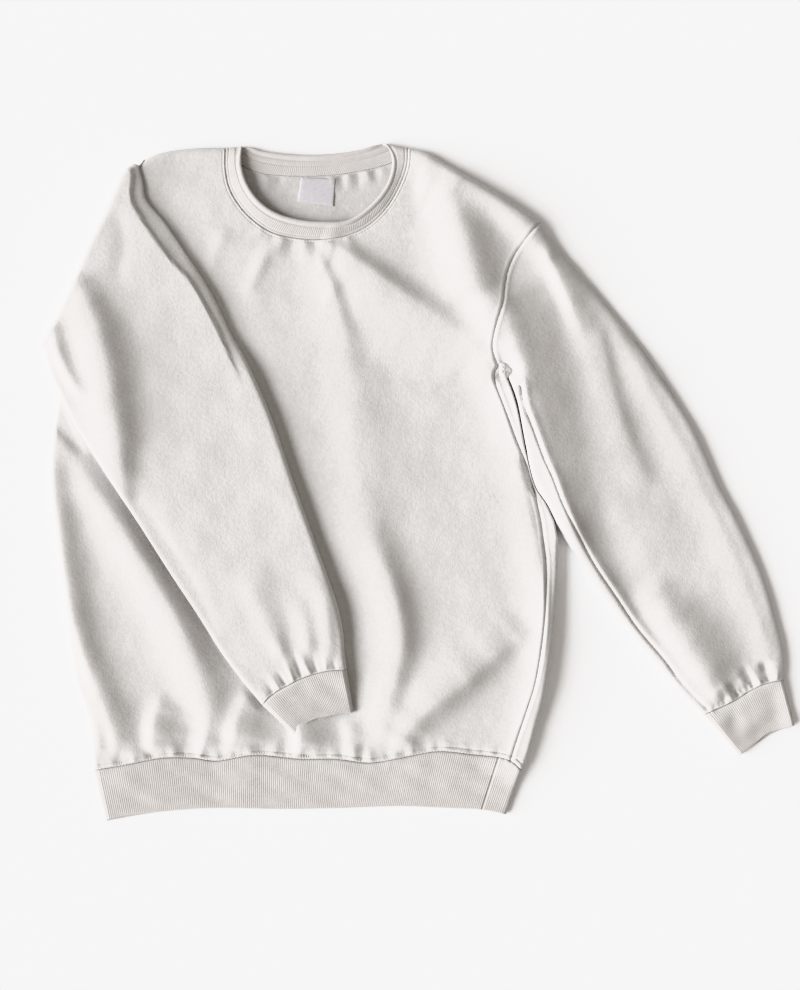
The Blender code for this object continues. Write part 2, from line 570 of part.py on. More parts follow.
def folded_sleeve():
    """A flattened tube that leaves the armhole, turns up and over, and lies across the front."""
    share = FOLDED_SHARES
    arm = LEFT_ARM_RUN + 0.55 * SEAM_GAP * np.array(LEFT)
    turn_line = along(FOLD_INNER, share * run_of(FOLD_INNER)[-1])
    outward = smooth(FOLD_LINE)[0] - FOLD_INNER[0]
    rows = []       # each row: the middle of the tube's section, and half of its thickness
    for mix in (0.0, 0.5, 1.0):
        plan = (1 - mix) * arm + mix * turn_line
        half = under_full(plan)[0] / 2
        rows.append((np.column_stack([plan, half]), np.column_stack([0 * plan, half])))
    lower = 2 * half
    below, top = over_layers(turn_line)
    for angle in np.radians((30, 60, 90, 120, 150)):
        outer = np.column_stack([turn_line + np.sin(angle) * outward, top / 2 * (1 - np.cos(angle))])
        crease = np.column_stack([turn_line + 0.08 * np.sin(angle) * outward,
                                  (lower + below) / 2 - (below - lower) / 2 * np.cos(angle)])
        rows.append(((outer + crease) / 2, (crease - outer) / 2))
    left, right = OVER_EDGES
    cuff_line = smooth(FOLDED_CUFF_SEAM)
    cuff = along(cuff_line, share * run_of(cuff_line)[-1])
    for v in np.concatenate([np.linspace(0, 0.9, 15), [0.935, 0.965, 1.0]]):
        low_end = along(left, [v * run_of(left)[-1]])[0]
        high_end = along(right, [v * run_of(right)[-1]])[0]
        bend = ((1 - v) * turn_line + v * cuff
                - (1 - share[:, None]) * ((1 - v) * turn_line[0] + v * cuff[0])
                - share[:, None] * ((1 - v) * turn_line[-1] + v * cuff[-1]))
        plan = (1 - share[:, None]) * low_end + share[:, None] * high_end + bend
        below, top = over_layers(plan)
        rows.append((np.column_stack([plan, (below + top) / 2]),
                     np.column_stack([0 * plan, (below - top) / 2])))

    def ring(middle, half, wall):
        """One section of the tube, a wall inside its skin: the garment's outer layer first."""
        width = run_of(middle)[-1]
        across = wall + run_of(middle) * (width - 2 * wall) / width
        turn = dome(np.minimum(across, width - across) - wall, EDGE_RUN - wall)
        thick = np.linalg.norm(half, axis=1)
        half = half * (np.maximum(thick - wall, 0.2) / thick)[:, None]
        middle, half = along(middle, across), turn[:, None] * along_like(middle, across, half)
        return np.vstack([middle - half, (middle + half)[-2:0:-1]])

    def along_like(line, distances, values):
        run = run_of(line)
        return np.stack([np.interp(distances, run, values[:, k]) for k in range(3)], axis=1)

    rings = [ring(middle, half, 0.0) for middle, half in rows]
    rings += [ring(middle, half, FLEECE) for middle, half in rows[::-1]]
    size = len(rings[0])
    faces = []
    for row in range(len(rings)):
        after_row = (row + 1) % len(rings)
        for column in range(size):
            after = (column + 1) % size
            corners = (row * size + column, after_row * size + column,
                       after_row * size + after, row * size + after)
            if row < len(rows):
                faces += [corners[:3], (corners[0], *corners[2:])]
            else:
                faces += [(*corners[:2], corners[3]), corners[1:]]
    return np.vstack(rings), faces


# --------------------------------------------------------------------------- ribbed bands

def bridge(first, first_at, second, second_at):
    """Faces between two closed loops of point numbers, each with its place round the loop, 0 to 1."""
    first, second = [*first, first[0]], [*second, second[0]]
    first_at, second_at = [*first_at, 1.0], [*second_at, 1.0]
    faces, i, j = [], 0, 0
    while i < len(first) - 1 or j < len(second) - 1:
        step_first = first_at[i + 1] if i < len(first) - 1 else 9.0
        step_second = second_at[j + 1] if j < len(second) - 1 else 9.0
        if abs(step_first - step_second) < 1e-9:
            faces.append((first[i], first[i + 1], second[j + 1], second[j]))
            i, j = i + 1, j + 1
        elif step_first < step_second:
            faces.append((first[i], first[i + 1], second[j]))
            i += 1
        else:
            faces.append((first[i], second[j + 1], second[j]))
            j += 1
    return faces


def loops_to_skin(loops):
    """Bridge a cycle of closed loops.  Each is (points, places round the loop)."""
    numbers, total = [], 0
    for points, _ in loops:
        numbers.append(list(range(total, total + len(points))))
        total += len(points)
    faces = []
    for k, (_, places) in enumerate(loops):
        after = (k + 1) % len(loops)
        faces += bridge(numbers[k], places, numbers[after], loops[after][1])
    return np.vstack([points for points, _ in loops]), faces


def ribbed_tube(seam_line, edge, low, high, marks, under_marks):
    """A flattened tube of rib from a seam to an open edge, ribbed on its upper side.

    seam_line and edge run from left to right.  low and high give the heights of its under and
    upper sides for a share of the way from seam to edge and plan spots there.  marks are the
    distances along the seam where the panel above has its points, under_marks those below.
    """
    edge_line = smooth(edge)
    width = run_of(seam_line)[-1]
    turns = len(EDGE_STEPS)
    rib_count = int((width - 2 * EDGE_STEPS[-1]) / RIB_PITCH)
    ribs = np.linspace(EDGE_STEPS[-1], width - EDGE_STEPS[-1], 2 * rib_count + 1)
    ribbed = np.concatenate([marks[:turns], ribs, marks[-turns:]])
    relief = np.zeros(len(ribbed))
    relief[turns:-turns] = RIB_RISE * (np.arange(len(ribs)) % 2)

    def section(share, across, wall, raise_by=0.0):
        """Upper and under points, a wall inside the tube's skin."""
        plan = ((1 - share) * along(seam_line, across)
                + share * along(edge_line, across * run_of(edge_line)[-1] / width))
        bottom, top = low(share, plan), high(share, plan)
        inset = np.minimum(across, width - across) - wall
        turn = dome(np.maximum(inset, 0), EDGE_RUN - wall)
        middle, half = (bottom + top) / 2, np.maximum((top - bottom) / 2 - wall, 0.2)
        return (np.column_stack([plan, middle + half * turn + raise_by]),
                np.column_stack([plan, middle - half * turn]))

    def loop(share, upper_marks, wall=0.0, raise_by=0.0):
        shrink = (width - 2 * wall) / width
        upper, _ = section(share, wall + upper_marks * shrink, wall, raise_by)
        _, under = section(share, wall + under_marks * shrink, wall)
        return (np.vstack([upper[::-1], under[1:-1]]),
                np.concatenate([(width - upper_marks[::-1]) / (2 * width),
                                0.5 + under_marks[1:-1] / (2 * width)]))

    return loops_to_skin([
        loop(0.0, marks), loop(RIB_START, ribbed, 0.0, relief),
        loop(1 - RIB_START, ribbed, 0.0, relief), loop(1.0, marks),
        loop(1.0, marks, RIB_CLOTH), loop(INNER_SETBACK, marks, RIB_CLOTH)])


def hem_band():
    def top(share, plan):
        return (1 - share) * under_full(plan)[0] + share * HEM_RISE
    return ribbed_tube(HEM_LINE - (0, 0.55 * SEAM_GAP), HEM_EDGE,
                       lambda share, plan: 0 * plan[:, 0], top,
                       np.concatenate([HEM_MARKS, [HEM_WIDTH - 3.0, HEM_WIDTH - 0.8, HEM_WIDTH]]),
                       HEM_UNDER_MARKS)


def straight_cuff():
    def top(share, plan):
        return (1 - share) * under_full(plan)[0] + share * CUFF_RISE
    seam_line = smooth(STRAIGHT_CUFF_SEAM)
    marks = spaced(run_of(seam_line)[-1], 8.0, True, True)
    return ribbed_tube(seam_line + SEAM_GAP * np.array((0.7, -1.0)), STRAIGHT_CUFF_EDGE,
                       lambda share, plan: 0 * plan[:, 0], top, marks, marks)


def folded_cuff():
    def low(share, plan):
        return over_layers(plan)[0]

    def top(share, plan):
        below, above = over_layers(plan)
        return (1 - share) * above + share * (below + CUFF_RISE)
    seam_line = smooth(FOLDED_CUFF_SEAM)
    marks = FOLDED_SHARES * run_of(seam_line)[-1]
    return ribbed_tube(seam_line + SEAM_GAP * np.array((0.5, -1.0)), FOLDED_CUFF_EDGE,
                       low, top, marks, marks)


def neckband():
    """A ring of rib: on the front it lies on top, turns over at each shoulder, and lies on the
    floor behind.  Its free edge is rolled."""
    front, back = NECK_RUN, BACK_NECK_RUN[::-1]
    front_free, back_free = smooth(NECK_FREE), smooth(BACK_FREE)[::-1]
    half = 0.5

    def at(line, share):
        return along(line, np.clip(share, 0, 1) * run_of(line)[-1])

    def frame(places):
        """Seam points, free-edge points, ways out of the cloth at both, and the roll's share."""
        places = np.asarray(places)
        on_front = (places > 0) & (places < half)
        share = np.where(on_front, places / half, (places - half) / half)
        share = np.where(places == 0, 1.0, share)
        pick = on_front[:, None]
        seam_plan = np.where(pick, at(front, share), at(back, share))
        free_plan = np.where(pick, at(front_free, share), at(back_free, share))
        ahead = np.where(pick, at(front, share + 0.002), at(back, share + 0.002))
        behind = np.where(pick, at(front, share - 0.002), at(back, share - 0.002))
        away = unit(ahead - behind)[:, ::-1] * (-1, 1)
        away *= np.sign((away * (free_plan - seam_plan)).sum(1))[:, None]
        end_gap = np.minimum(share, 1 - share) * np.where(on_front, run_of(front)[-1],
                                                          run_of(back)[-1])
        turn = dome(end_gap, EDGE_RUN)
        roll = ease(end_gap / 30.0)
        full, seam_turn = under_full(seam_plan)
        free_full = full + (NECK_FREE_FRONT - full) * np.sin(np.pi * share) ** 0.5
        sign = np.where(on_front, 1.0, -1.0)
        seam_up = full / 2 * (1 + sign * seam_turn)
        free_up = free_full / 2 * (1 + sign * turn)
        free_up += np.where(on_front, 0.0, 0.4 + NECK_ROLL * roll)
        seam_up = np.maximum(seam_up, 0.0)
        seam_points = np.column_stack([seam_plan + 1.1 * SEAM_GAP * away, seam_up])
        free_points = np.column_stack([free_plan, free_up])
        tilt = np.arcsin(np.clip(turn, 0, 1)) * sign
        out = np.column_stack([np.zeros(len(places)), np.cos(tilt), np.sin(tilt)])
        seam_tilt = np.arcsin(np.clip(seam_turn, 0, 1)) * sign
        seam_out = np.column_stack([np.zeros(len(places)), np.cos(seam_tilt), np.sin(seam_tilt)])
        width = unit(free_points - seam_points)
        level_away = np.column_stack([away, np.zeros(len(places))])
        out = unit(out - (out * width).sum(1)[:, None] * width)
        seam_out = unit(seam_out - (seam_out * level_away).sum(1)[:, None] * level_away)
        return seam_points, free_points, out, seam_out, roll

    front_run, back_run = run_of(front), run_of(back)
    front_shares = front_run / front_run[-1] * half
    back_shares = half + back_run / back_run[-1] * half
    turns = len(EDGE_STEPS)
    plain = np.concatenate([front_shares[:-1], back_shares[:-1]])

    def rib_shares(shares, run):
        start, stop = shares[turns], shares[-turns - 1]
        return np.linspace(start, stop, 2 * int(run / RIB_PITCH) + 1)

    rib_front = rib_shares(front_shares, front_run[-1])
    rib_back = rib_shares(back_shares, back_run[-1])
    ribbed_front = np.concatenate([front_shares[:turns], rib_front, front_shares[-turns:-1],
                                   back_shares[:-1]])
    ribbed_back = np.concatenate([front_shares[:-1], back_shares[:turns], rib_back,
                                  back_shares[-turns:-1]])

    def loop(places, across, depth, start=0, count=0):
        """Points a share across the band from seam to free edge and a depth into the cloth.

        depth is a number, or a pair: the depth, and what the roll adds to it.  count points from
        start are raised in ribs.
        """
        seam_points, free_points, out, seam_out, roll = frame(places)
        relief = np.zeros(len(places))
        relief[start:start + count] = RIB_RISE * (np.arange(count) % 2)
        side = 1.0 if depth[0] <= RIB_CLOTH / 2 else -1.0
        into = depth[0] + depth[1] * roll - side * relief
        way = seam_out if across == 0.0 else out
        return seam_points + across * (free_points - seam_points) - into[:, None] * way, places

    front_ribs = (turns, len(rib_front))
    back_ribs = (len(front_shares) - 1 + turns, len(rib_back))
    roll_start = 1 - NECK_ROLL_WIDTH / 17.5
    middle = RIB_CLOTH / 2
    loops = [
        loop(plain, 0.0, (0.0, 0.0)),
        loop(ribbed_front, 2 * RIB_START, (0.0, 0.0), *front_ribs),
        loop(ribbed_front, roll_start, (0.0, 0.0), *front_ribs),
        loop(plain, roll_start + 0.3 * (1 - roll_start), (0.0, -NECK_ROLL)),
        loop(plain, roll_start + 0.7 * (1 - roll_start), (0.1, -0.95 * NECK_ROLL)),
        loop(plain, 1.0, (middle, 0.0)),
        loop(plain, roll_start + 0.6 * (1 - roll_start), (RIB_CLOTH, 0.6 * NECK_ROLL)),
        loop(ribbed_back, roll_start, (RIB_CLOTH, 0.0), *back_ribs),
        loop(ribbed_back, 2 * RIB_START, (RIB_CLOTH, 0.0), *back_ribs),
        loop(plain, 0.0, (RIB_CLOTH, 0.0)),
    ]
    return loops_to_skin(loops)


def neck_label():
    """A plain woven tab that lies on the inside of the back panel."""
    corners = np.array(LABEL_CORNERS, float)
    low, high = FLEECE + SEAM_GAP, FLEECE + SEAM_GAP + LABEL_THICK
    points = np.vstack([np.column_stack([corners, np.full(4, low)]),
                        np.column_stack([corners, np.full(4, high)])])
    faces = [(3, 2, 1, 0), (4, 5, 6, 7), (0, 1, 5, 4), (1, 2, 6, 5), (2, 3, 7, 6), (3, 0, 4, 7)]
    return points, faces


# --------------------------------------------------------------------------- the garment

def finish(name, colour, roughness):
    material = bpy.data.materials.new(name)
    material.use_nodes = True
    shader = material.node_tree.nodes["Principled BSDF"]
    shader.inputs["Base Color"].default_value = (*colour, 1.0)
    shader.inputs["Roughness"].default_value = roughness
    shader.inputs["Metallic"].default_value = 0.0
    return material


def main():
    for thing in list(bpy.data.objects):
        bpy.data.objects.remove(thing)
    fleece = finish("fleece", (0.72, 0.69, 0.65), 0.95)
    rib = finish("rib", (0.70, 0.66, 0.62), 0.95)
    woven = finish("label", (0.82, 0.82, 0.86), 0.7)
    pieces = (
        ("front", front_panel, fleece), ("back", back_panel, fleece),
        ("sleeve_straight", straight_sleeve, fleece), ("sleeve_folded", folded_sleeve, fleece),
        ("neckband", neckband, rib), ("hem_band", hem_band, rib),
        ("cuff_straight", straight_cuff, rib), ("cuff_folded", folded_cuff, rib),
        ("label", neck_label, woven))
    for name, build, material in pieces:
        make_object(name, *build(), material)


main()
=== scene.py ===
"""The looks of a crewneck sweatshirt laid flat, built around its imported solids.

Frame: +Z up off the floor, +Y from the hem to the neck, +X towards the sleeve that lies straight.
Sizes are millimetres and are scaled to metres once, when a mesh is made.  Every panel is a thin
shell.  Its outer side is a height over the plan: two layers lie on each other, turn over in a half
ellipse along each outline, rise in folds between, and are gathered and stitched at their seams.
"""

import math

import bpy
import numpy as np
from mathutils.geometry import delaunay_2d_cdt
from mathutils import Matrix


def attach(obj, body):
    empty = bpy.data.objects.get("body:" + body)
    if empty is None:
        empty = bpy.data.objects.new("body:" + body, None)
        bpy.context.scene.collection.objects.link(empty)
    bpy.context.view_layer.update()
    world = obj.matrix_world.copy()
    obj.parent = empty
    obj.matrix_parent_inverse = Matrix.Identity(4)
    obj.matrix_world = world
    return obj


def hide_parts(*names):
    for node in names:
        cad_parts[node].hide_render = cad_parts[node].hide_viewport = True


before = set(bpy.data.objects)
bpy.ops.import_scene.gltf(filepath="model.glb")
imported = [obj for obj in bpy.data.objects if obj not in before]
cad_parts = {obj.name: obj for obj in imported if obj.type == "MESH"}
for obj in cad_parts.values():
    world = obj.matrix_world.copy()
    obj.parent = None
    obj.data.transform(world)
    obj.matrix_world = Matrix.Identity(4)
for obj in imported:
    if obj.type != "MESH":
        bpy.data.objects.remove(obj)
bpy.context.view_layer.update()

MM = 0.001
SEED = 7

# Cloth
FLEECE = 1.1            # shell of a fleece panel
RIB_CLOTH = 2.2         # doubled rib
RIB_PITCH = 2.2         # one rib and one valley
RIB_RISE = 0.42         # a rib's height over its valley
RIB_FULL = 0.8          # power of its wave: below 1 the ribs are wider than the valleys
SIDE_GAP = 0.4          # between the straight sleeve and the body beside it
LAP_GAP = 1.2           # between the folded sleeve and what it lies on
SPLIT_GAP = 0.12        # half the gap between the front and the back along a turned edge
SLEEVE_GAP = 0.2        # half the gap between the straight sleeve's two layers, inside
SEAM_SHIFT = 0.08       # how far each piece stays back from a seam

# How the layers lie
LIE = 6.2               # top of two layers that lie still
LEAST_TOP = 2 * FLEECE + 1.2
EDGE_RUN = 6.0          # how far in from its side a band's turned edge reaches
COVER_FADE = 7.0        # the body's folds fade out over this way to the folded sleeve
OVER_RISE = 9.0         # the folded sleeve's two layers, above what they lie on
FOLD_RUN = 6.5          # how far the folded sleeve's outer layer turns out past its inner one
UNDER_RUNS = (4.5, 7.0)     # of the turned edges at the folded sleeve's two sides, at its armhole
OVER_RUNS = (5.0, 5.0)      # and where it lies on the front
LIP_RUN = 2.8           # width of the step down from its upper layer to the roll beside it
LIP_DROP = 3.6          # and the depth of that step
LIP_LEAN = 0.075        # fall of the roll for each mm past the step, as a share of the depth
LIP_LEAN_RUN = 20.0
LIP_END = 0.25          # share of the lip's length over which it fades out
LIP_LEAST = 2.4         # what the sleeve keeps in thickness before the step, above the least
CREASE = 0.08           # how far its inner layer turns out in the fold, of the outer one's way

# Seams.  A ridge is (height, half width, how far off); a groove's height is below nought.
SEAM_DIP, SEAM_WIDTH = 0.9, 0.8     # the groove where two pieces are sewn together
PLAIN_DIP, PLAIN_WIDTH = 0.81, 1.0  # where no stitches show
PLAIN_ROLL = (0.35, 1.8, 3.4)       # the soft roll on each side of such a seam
ARM_SEAM_RELIEF, SIDE_SEAM_RELIEF = 1.3, 1.9        # how many times that they have
UNDERARM_DIP, UNDERARM_WIDTH = 2.0, 1.2
UNDERARM_ROLL = (1.5, 3.6, 4.5)
UNDERARM_FADE = 180.0   # that seam is half as deep again at its top, and fades from there
OWN_SEAM_DEPTH, OWN_SEAM_WIDTH = 1.3, 0.9   # the seam that closes the hem band
HEM_OWN_SEAM = (83, -292)
HEM_STITCH_ROW = 5.0    # from the hem seam to its row of stitches, whose cover stitch is wide
STITCH_ROW = 2.8        # from another seam to the row beside it
STITCH_DIP, STITCH_WIDTH = 0.5, 0.55
CHANNEL_RISE = 0.25     # the strip between a seam and its row
SEAM_REACH = 8.0        # no relief of a seam is left further off than this
HEM_SEAM_REACH = 9.0
GATHER_LEAN = 0.12      # at most this far sideways for each mm from the seam
GATHER_START = 3.2      # a gather rises over this way from the seam
GATHER_FADE = (0.1, 0.95)           # where it starts to fade and over what, as shares of its reach

# Bands
HEM_RISE = 6.4
CUFF_RISE = 6.2
BAND_BOW, BAND_BOW_LENGTH = 0.45, 38        # slow waves along a band
BAND_RIB_START = 2.0    # the ribs rise over this way from the seam
BAND_GROOVE = (0.5, 0.9)            # depth and half width, at the seam
UNDER_RIBS = 0.3        # height of the ribs on the side that lies below, as a share
CUFF_TILT = 2.6         # the straight cuff's open edge is higher on its left than on its right
CUFF_CORNER = (4.0, 0.14, 1)        # and turns up at its right end; shares of its width
CUFF_HOLLOW = (-1.8, (9, 13), (331, -249))  # height, half widths, centre
NECK_FREE_FRONT = 9.6   # height of the neckband's free edge at the middle of the front
NECK_LEFT_RISE = 3.2    # it stands up more on the left, between these shares of the front
NECK_LEFT_START, NECK_LEFT_STOP, NECK_LEFT_FADE = 0.05, 0.16, 0.26
NECK_ROLL = 2.9         # half the width of the rolled free edge
NECK_ROLL_UP = 2.1      # and half its height
NECK_ROLL_FADE = 26.0   # the roll grows over this way from each shoulder
NECK_BACK_RISE = (0.4, 1.6)         # its free edge at the back: at a shoulder, and more inwards
NECK_SEAM_ROLL = (0.3, 0.9, 1.7)    # on the front of the neckband, beside its seam
NECK_SEAM_ROW = (-0.35, 0.45, 3.2)
BACK_ROW = 0.64         # where the row of stitches runs on its back, as a share of its flat side
BACK_ROW_DIP = (-0.5, 0.7)
ROLL_ROW_DIP = (-0.4, 0.8)          # the groove between the flat side and the roll
NECK_RIB_START = (3.3, 0.6)         # how far from the seam its ribs start, in front and behind
NECK_FLAT, NECK_BACK_FLAT = 11.5, 16.5      # about how wide its flat side is there

# Colours, dark and light, and the light
FLEECE_COLOURS = ((0.521, 0.510, 0.503), (0.578, 0.571, 0.566))
BRUSHED_AND_SHADE_DARKENING = 0.86       # the brushed inner side is darker than the face, and inside the neck opening this darker tone is painted shade
RIB_COLOURS = ((0.475, 0.455, 0.444), (0.533, 0.518, 0.511))
LABEL_COLOURS = ((0.48, 0.475, 0.505), (0.54, 0.535, 0.565))
THREAD_COLOURS = ((0.56, 0.53, 0.49), (0.66, 0.635, 0.60))
FLOOR_COLOURS = ((0.94, 0.953, 0.97), (0.955, 0.965, 0.982))
FLOOR_HALF, FLOOR_LEVEL = 6.0, -0.0004          # in metres, as the camera's
CAMERA_HEIGHT = 1.9
VIEW_CENTRE = (-0.0194, -0.0126)
VIEW_LONG_SIDE = 1.0395         # what the picture's height covers on the floor
SUN_AZIMUTH, SUN_ELEVATION = 192.0, 25.0        # where it comes from, from +X anticlockwise
SUN_POWER, SUN_SOFTNESS, SUN_COLOUR = 7.6, 50, (0.99, 0.992, 1.0)
SKY_POWER, SKY_COLOUR = 0.43, (1.0, 0.925, 0.85)

# Label
LABEL_SIZE = (38, 26)
LABEL_TOP, LABEL_THICK = 2.9, 0.5
LABEL_HEM = (0.25, 1.6)             # how far its rim is drawn down, and over what way

# Mesh steps, and rows or columns of points at distances from an edge or a seam
GRID = 3.2
BACK_GRID = 3.0
STRIP_GRID = 2.6
RING = 2.4
UNDER_GRID = 14.0
NECK_REGION = (-222, 8, 240)        # left, right and lower side of where the back's mesh is fine
TURN_ROWS = (0.35, 0.9, 1.8, 3.0, 4.6, 6.6)
SEAM_ROWS = (0.5, 1.0, 1.6, 2.2, 2.8, 3.4, 4.1, 4.6, 5.0, 5.4, 5.9)
LINE_ROWS = (-5.0, -3.4, -2.2, -1.3, -0.6, 0.0, 0.6, 1.3, 2.2, 3.4, 5.0)
RIB_COLUMNS = 4         # mesh columns to a rib
BAND_ENDS = (0.0, 0.4, 1.0, 1.8, 3.0)       # columns at a band's two sides
BAND_END = 4.4          # and from here they are even
BAND_SEAM_ROWS = (0, 0.6, 1.2, 2.0)         # rows after a band's seam
BAND_ROWS = 16
BAND_EDGE_ROWS = (1.4, 0.8, 0.35)           # and before its open edge
TUBE_COLUMNS = 84       # of the folded sleeve, along its edges
TUBE_END = (5.6, 4.6, 3.9, 3.3, 2.8, 2.3, 1.7, 1.1, 0.5, 0.0)       # rows at its cuff seam
LIP_STRIP = 31.0        # the columns are denser this far in from its right edge
FOLD_KNOT_POINTS = 6    # points to each knot of a fold's path
NECK_ROWS = (0, 0.05, 0.1, 0.15, 0.2, 0.24, 0.28, 0.32, 0.36, 0.42, 0.5, 0.57, 0.61, 0.64, 0.67,
             0.71, 0.78, 0.85, 0.9, 0.94, 0.97, 1.0)
FLOOR_HEIGHT = 0.02     # nothing of the neckband goes below this

# Plan outlines, seen from above.  Each is the few points that a smooth curve runs through.
LEFT_SIDE = ((-340, -301), (-343, -262), (-350, -232), (-357, -212), (-363, -180), (-371, -120),
             (-380, -54), (-385, -10), (-384, 35), (-379, 72), (-372, 105), (-366, 127))
LEFT_ARMHOLE = ((-366, 127), (-350, 175), (-328, 228), (-306, 285), (-294, 322), (-287, 339))
LEFT_SHOULDER = ((-287, 339), (-273, 345), (-252, 349), (-225, 351), (-202, 351))
FRONT_NECK = ((-202, 351), (-202, 329), (-198, 309), (-188, 291), (-173, 275), (-153, 262),
              (-126, 256), (-100, 255), (-75, 259), (-53, 269), (-33, 288), (-19, 312),
              (-12, 332), (-11, 351))
BACK_NECK = ((-202, 351), (-193, 338), (-182, 331), (-168, 326), (-150, 323), (-117, 322),
             (-82, 324), (-53, 329), (-33, 334), (-18, 341), (-11, 351))
RIGHT_SHOULDER = ((-11, 351), (7, 347), (29, 334), (53, 320), (74, 308), (96, 295), (115, 282),
                  (127, 272))
RIGHT_ARMHOLE = ((91, 116), (83, 122), (77, 140), (78, 153), (82, 169), (88, 188), (90, 204),
                 (94, 223), (101, 239), (112, 255), (127, 272))
SIDE_SEAM = ((96, -290), (104, -265), (112, -241), (121, -212), (127, -180), (131, -148),
             (133, -112), (133, -81), (131, -64), (128, -40), (122, -13), (114, 16), (102, 45),
             (89, 80), (80, 105), (79, 114), (83, 122))
LOWER_RIGHT_SIDE = ((108, -300), (113, -290), (117, -277), (123, -255), (131, -228), (137, -193),
                    (141, -166), (144, -126), (146, -86), (146, -60))
HEM_SEAM = ((-340, -301), (-305, -295), (-268, -288), (-236, -288), (-212, -291), (-172, -285),
            (-123, -289), (-86, -289), (-51, -293), (-19, -288), (21, -281), (55, -284),
            (96, -290))
HEM_CORNER = (108, -300)
HEM_EDGE = ((-328, -354), (-289, -347), (-251, -342), (-212, -340), (-144, -341), (-82, -340),
            (-19, -338), (34, -340), (69, -342), (92, -347))
STRAIGHT_OUTER = ((127, 272), (141, 252), (163, 225), (184, 201), (206, 175), (227, 148),
                  (248, 118), (270, 86), (291, 51), (315, -2), (334, -38), (350, -72),
                  (364, -107), (374, -142), (381, -169), (383, -193), (382, -206))
STRAIGHT_INNER = ((91, 116), (95, 105), (102, 84), (107, 61), (115, 22), (123, -5), (134, -22),
                  (144, -43), (163, -72), (184, -105), (208, -137), (232, -169), (259, -201),
                  (281, -225), (299, -243))
STRAIGHT_CUFF_SEAM = ((299, -243), (329, -229), (350, -216), (366, -209), (382, -206))
STRAIGHT_CUFF_EDGE = ((335, -285), (356, -272), (369, -263), (394, -253))
STRAIGHT_UNDERARM = ((106, 100), (109, 82), (118, 58), (130, 26), (139, 6), (150, -22), (163, -48),
                     (183, -84), (206, -118), (230, -153), (257, -185), (275, -209), (291, -226),
                     (302, -236))
FOLD_LINE = ((-396, 143), (-379, 172), (-367, 196), (-346, 247), (-332, 276), (-319, 303),
             (-311, 322), (-299, 335))
FOLDED_OUTER = ((-384, 115), (-373, 90), (-361, 64), (-346, 40), (-323, 4), (-289, -48),
                (-263, -89), (-230, -139), (-204, -180), (-182, -209), (-163, -232))
FOLDED_INNER = ((-288, 314), (-285, 297), (-265, 272), (-244, 241), (-225, 213), (-211, 188),
                (-195, 154), (-182, 132), (-156, 75), (-131, 3), (-107, -64), (-85, -126),
                (-79, -153), (-77, -177), (-75, -194))
FOLDED_LIP = ((-300, 338), (-297, 317), (-298, 296), (-285, 272), (-261, 238), (-236, 210),
              (-213, 170), (-197, 135), (-180, 95))
FOLDED_CUFF_SEAM = ((-163, -232), (-156, -224), (-147, -217), (-134, -210), (-120, -203),
                    (-96, -196), (-75, -194))
FOLDED_CUFF_EDGE = ((-129, -264), (-121, -257), (-112, -251), (-97, -245), (-81, -240),
                    (-68, -239))
NECK_FREE = ((-185, 353), (-185, 332), (-179, 312), (-166, 294), (-148, 282), (-123, 275),
             (-97, 273), (-73, 275), (-53, 288), (-35, 309), (-28, 329), (-29, 345), (-36, 356))
BACK_FREE = ((-185, 353), (-175, 352), (-166, 349), (-147, 346), (-112, 344), (-82, 346),
             (-60, 350), (-47, 354), (-36, 356))
LABEL_CORNERS = ((-127, 295), (-89, 290), (-87, 319), (-123, 320))

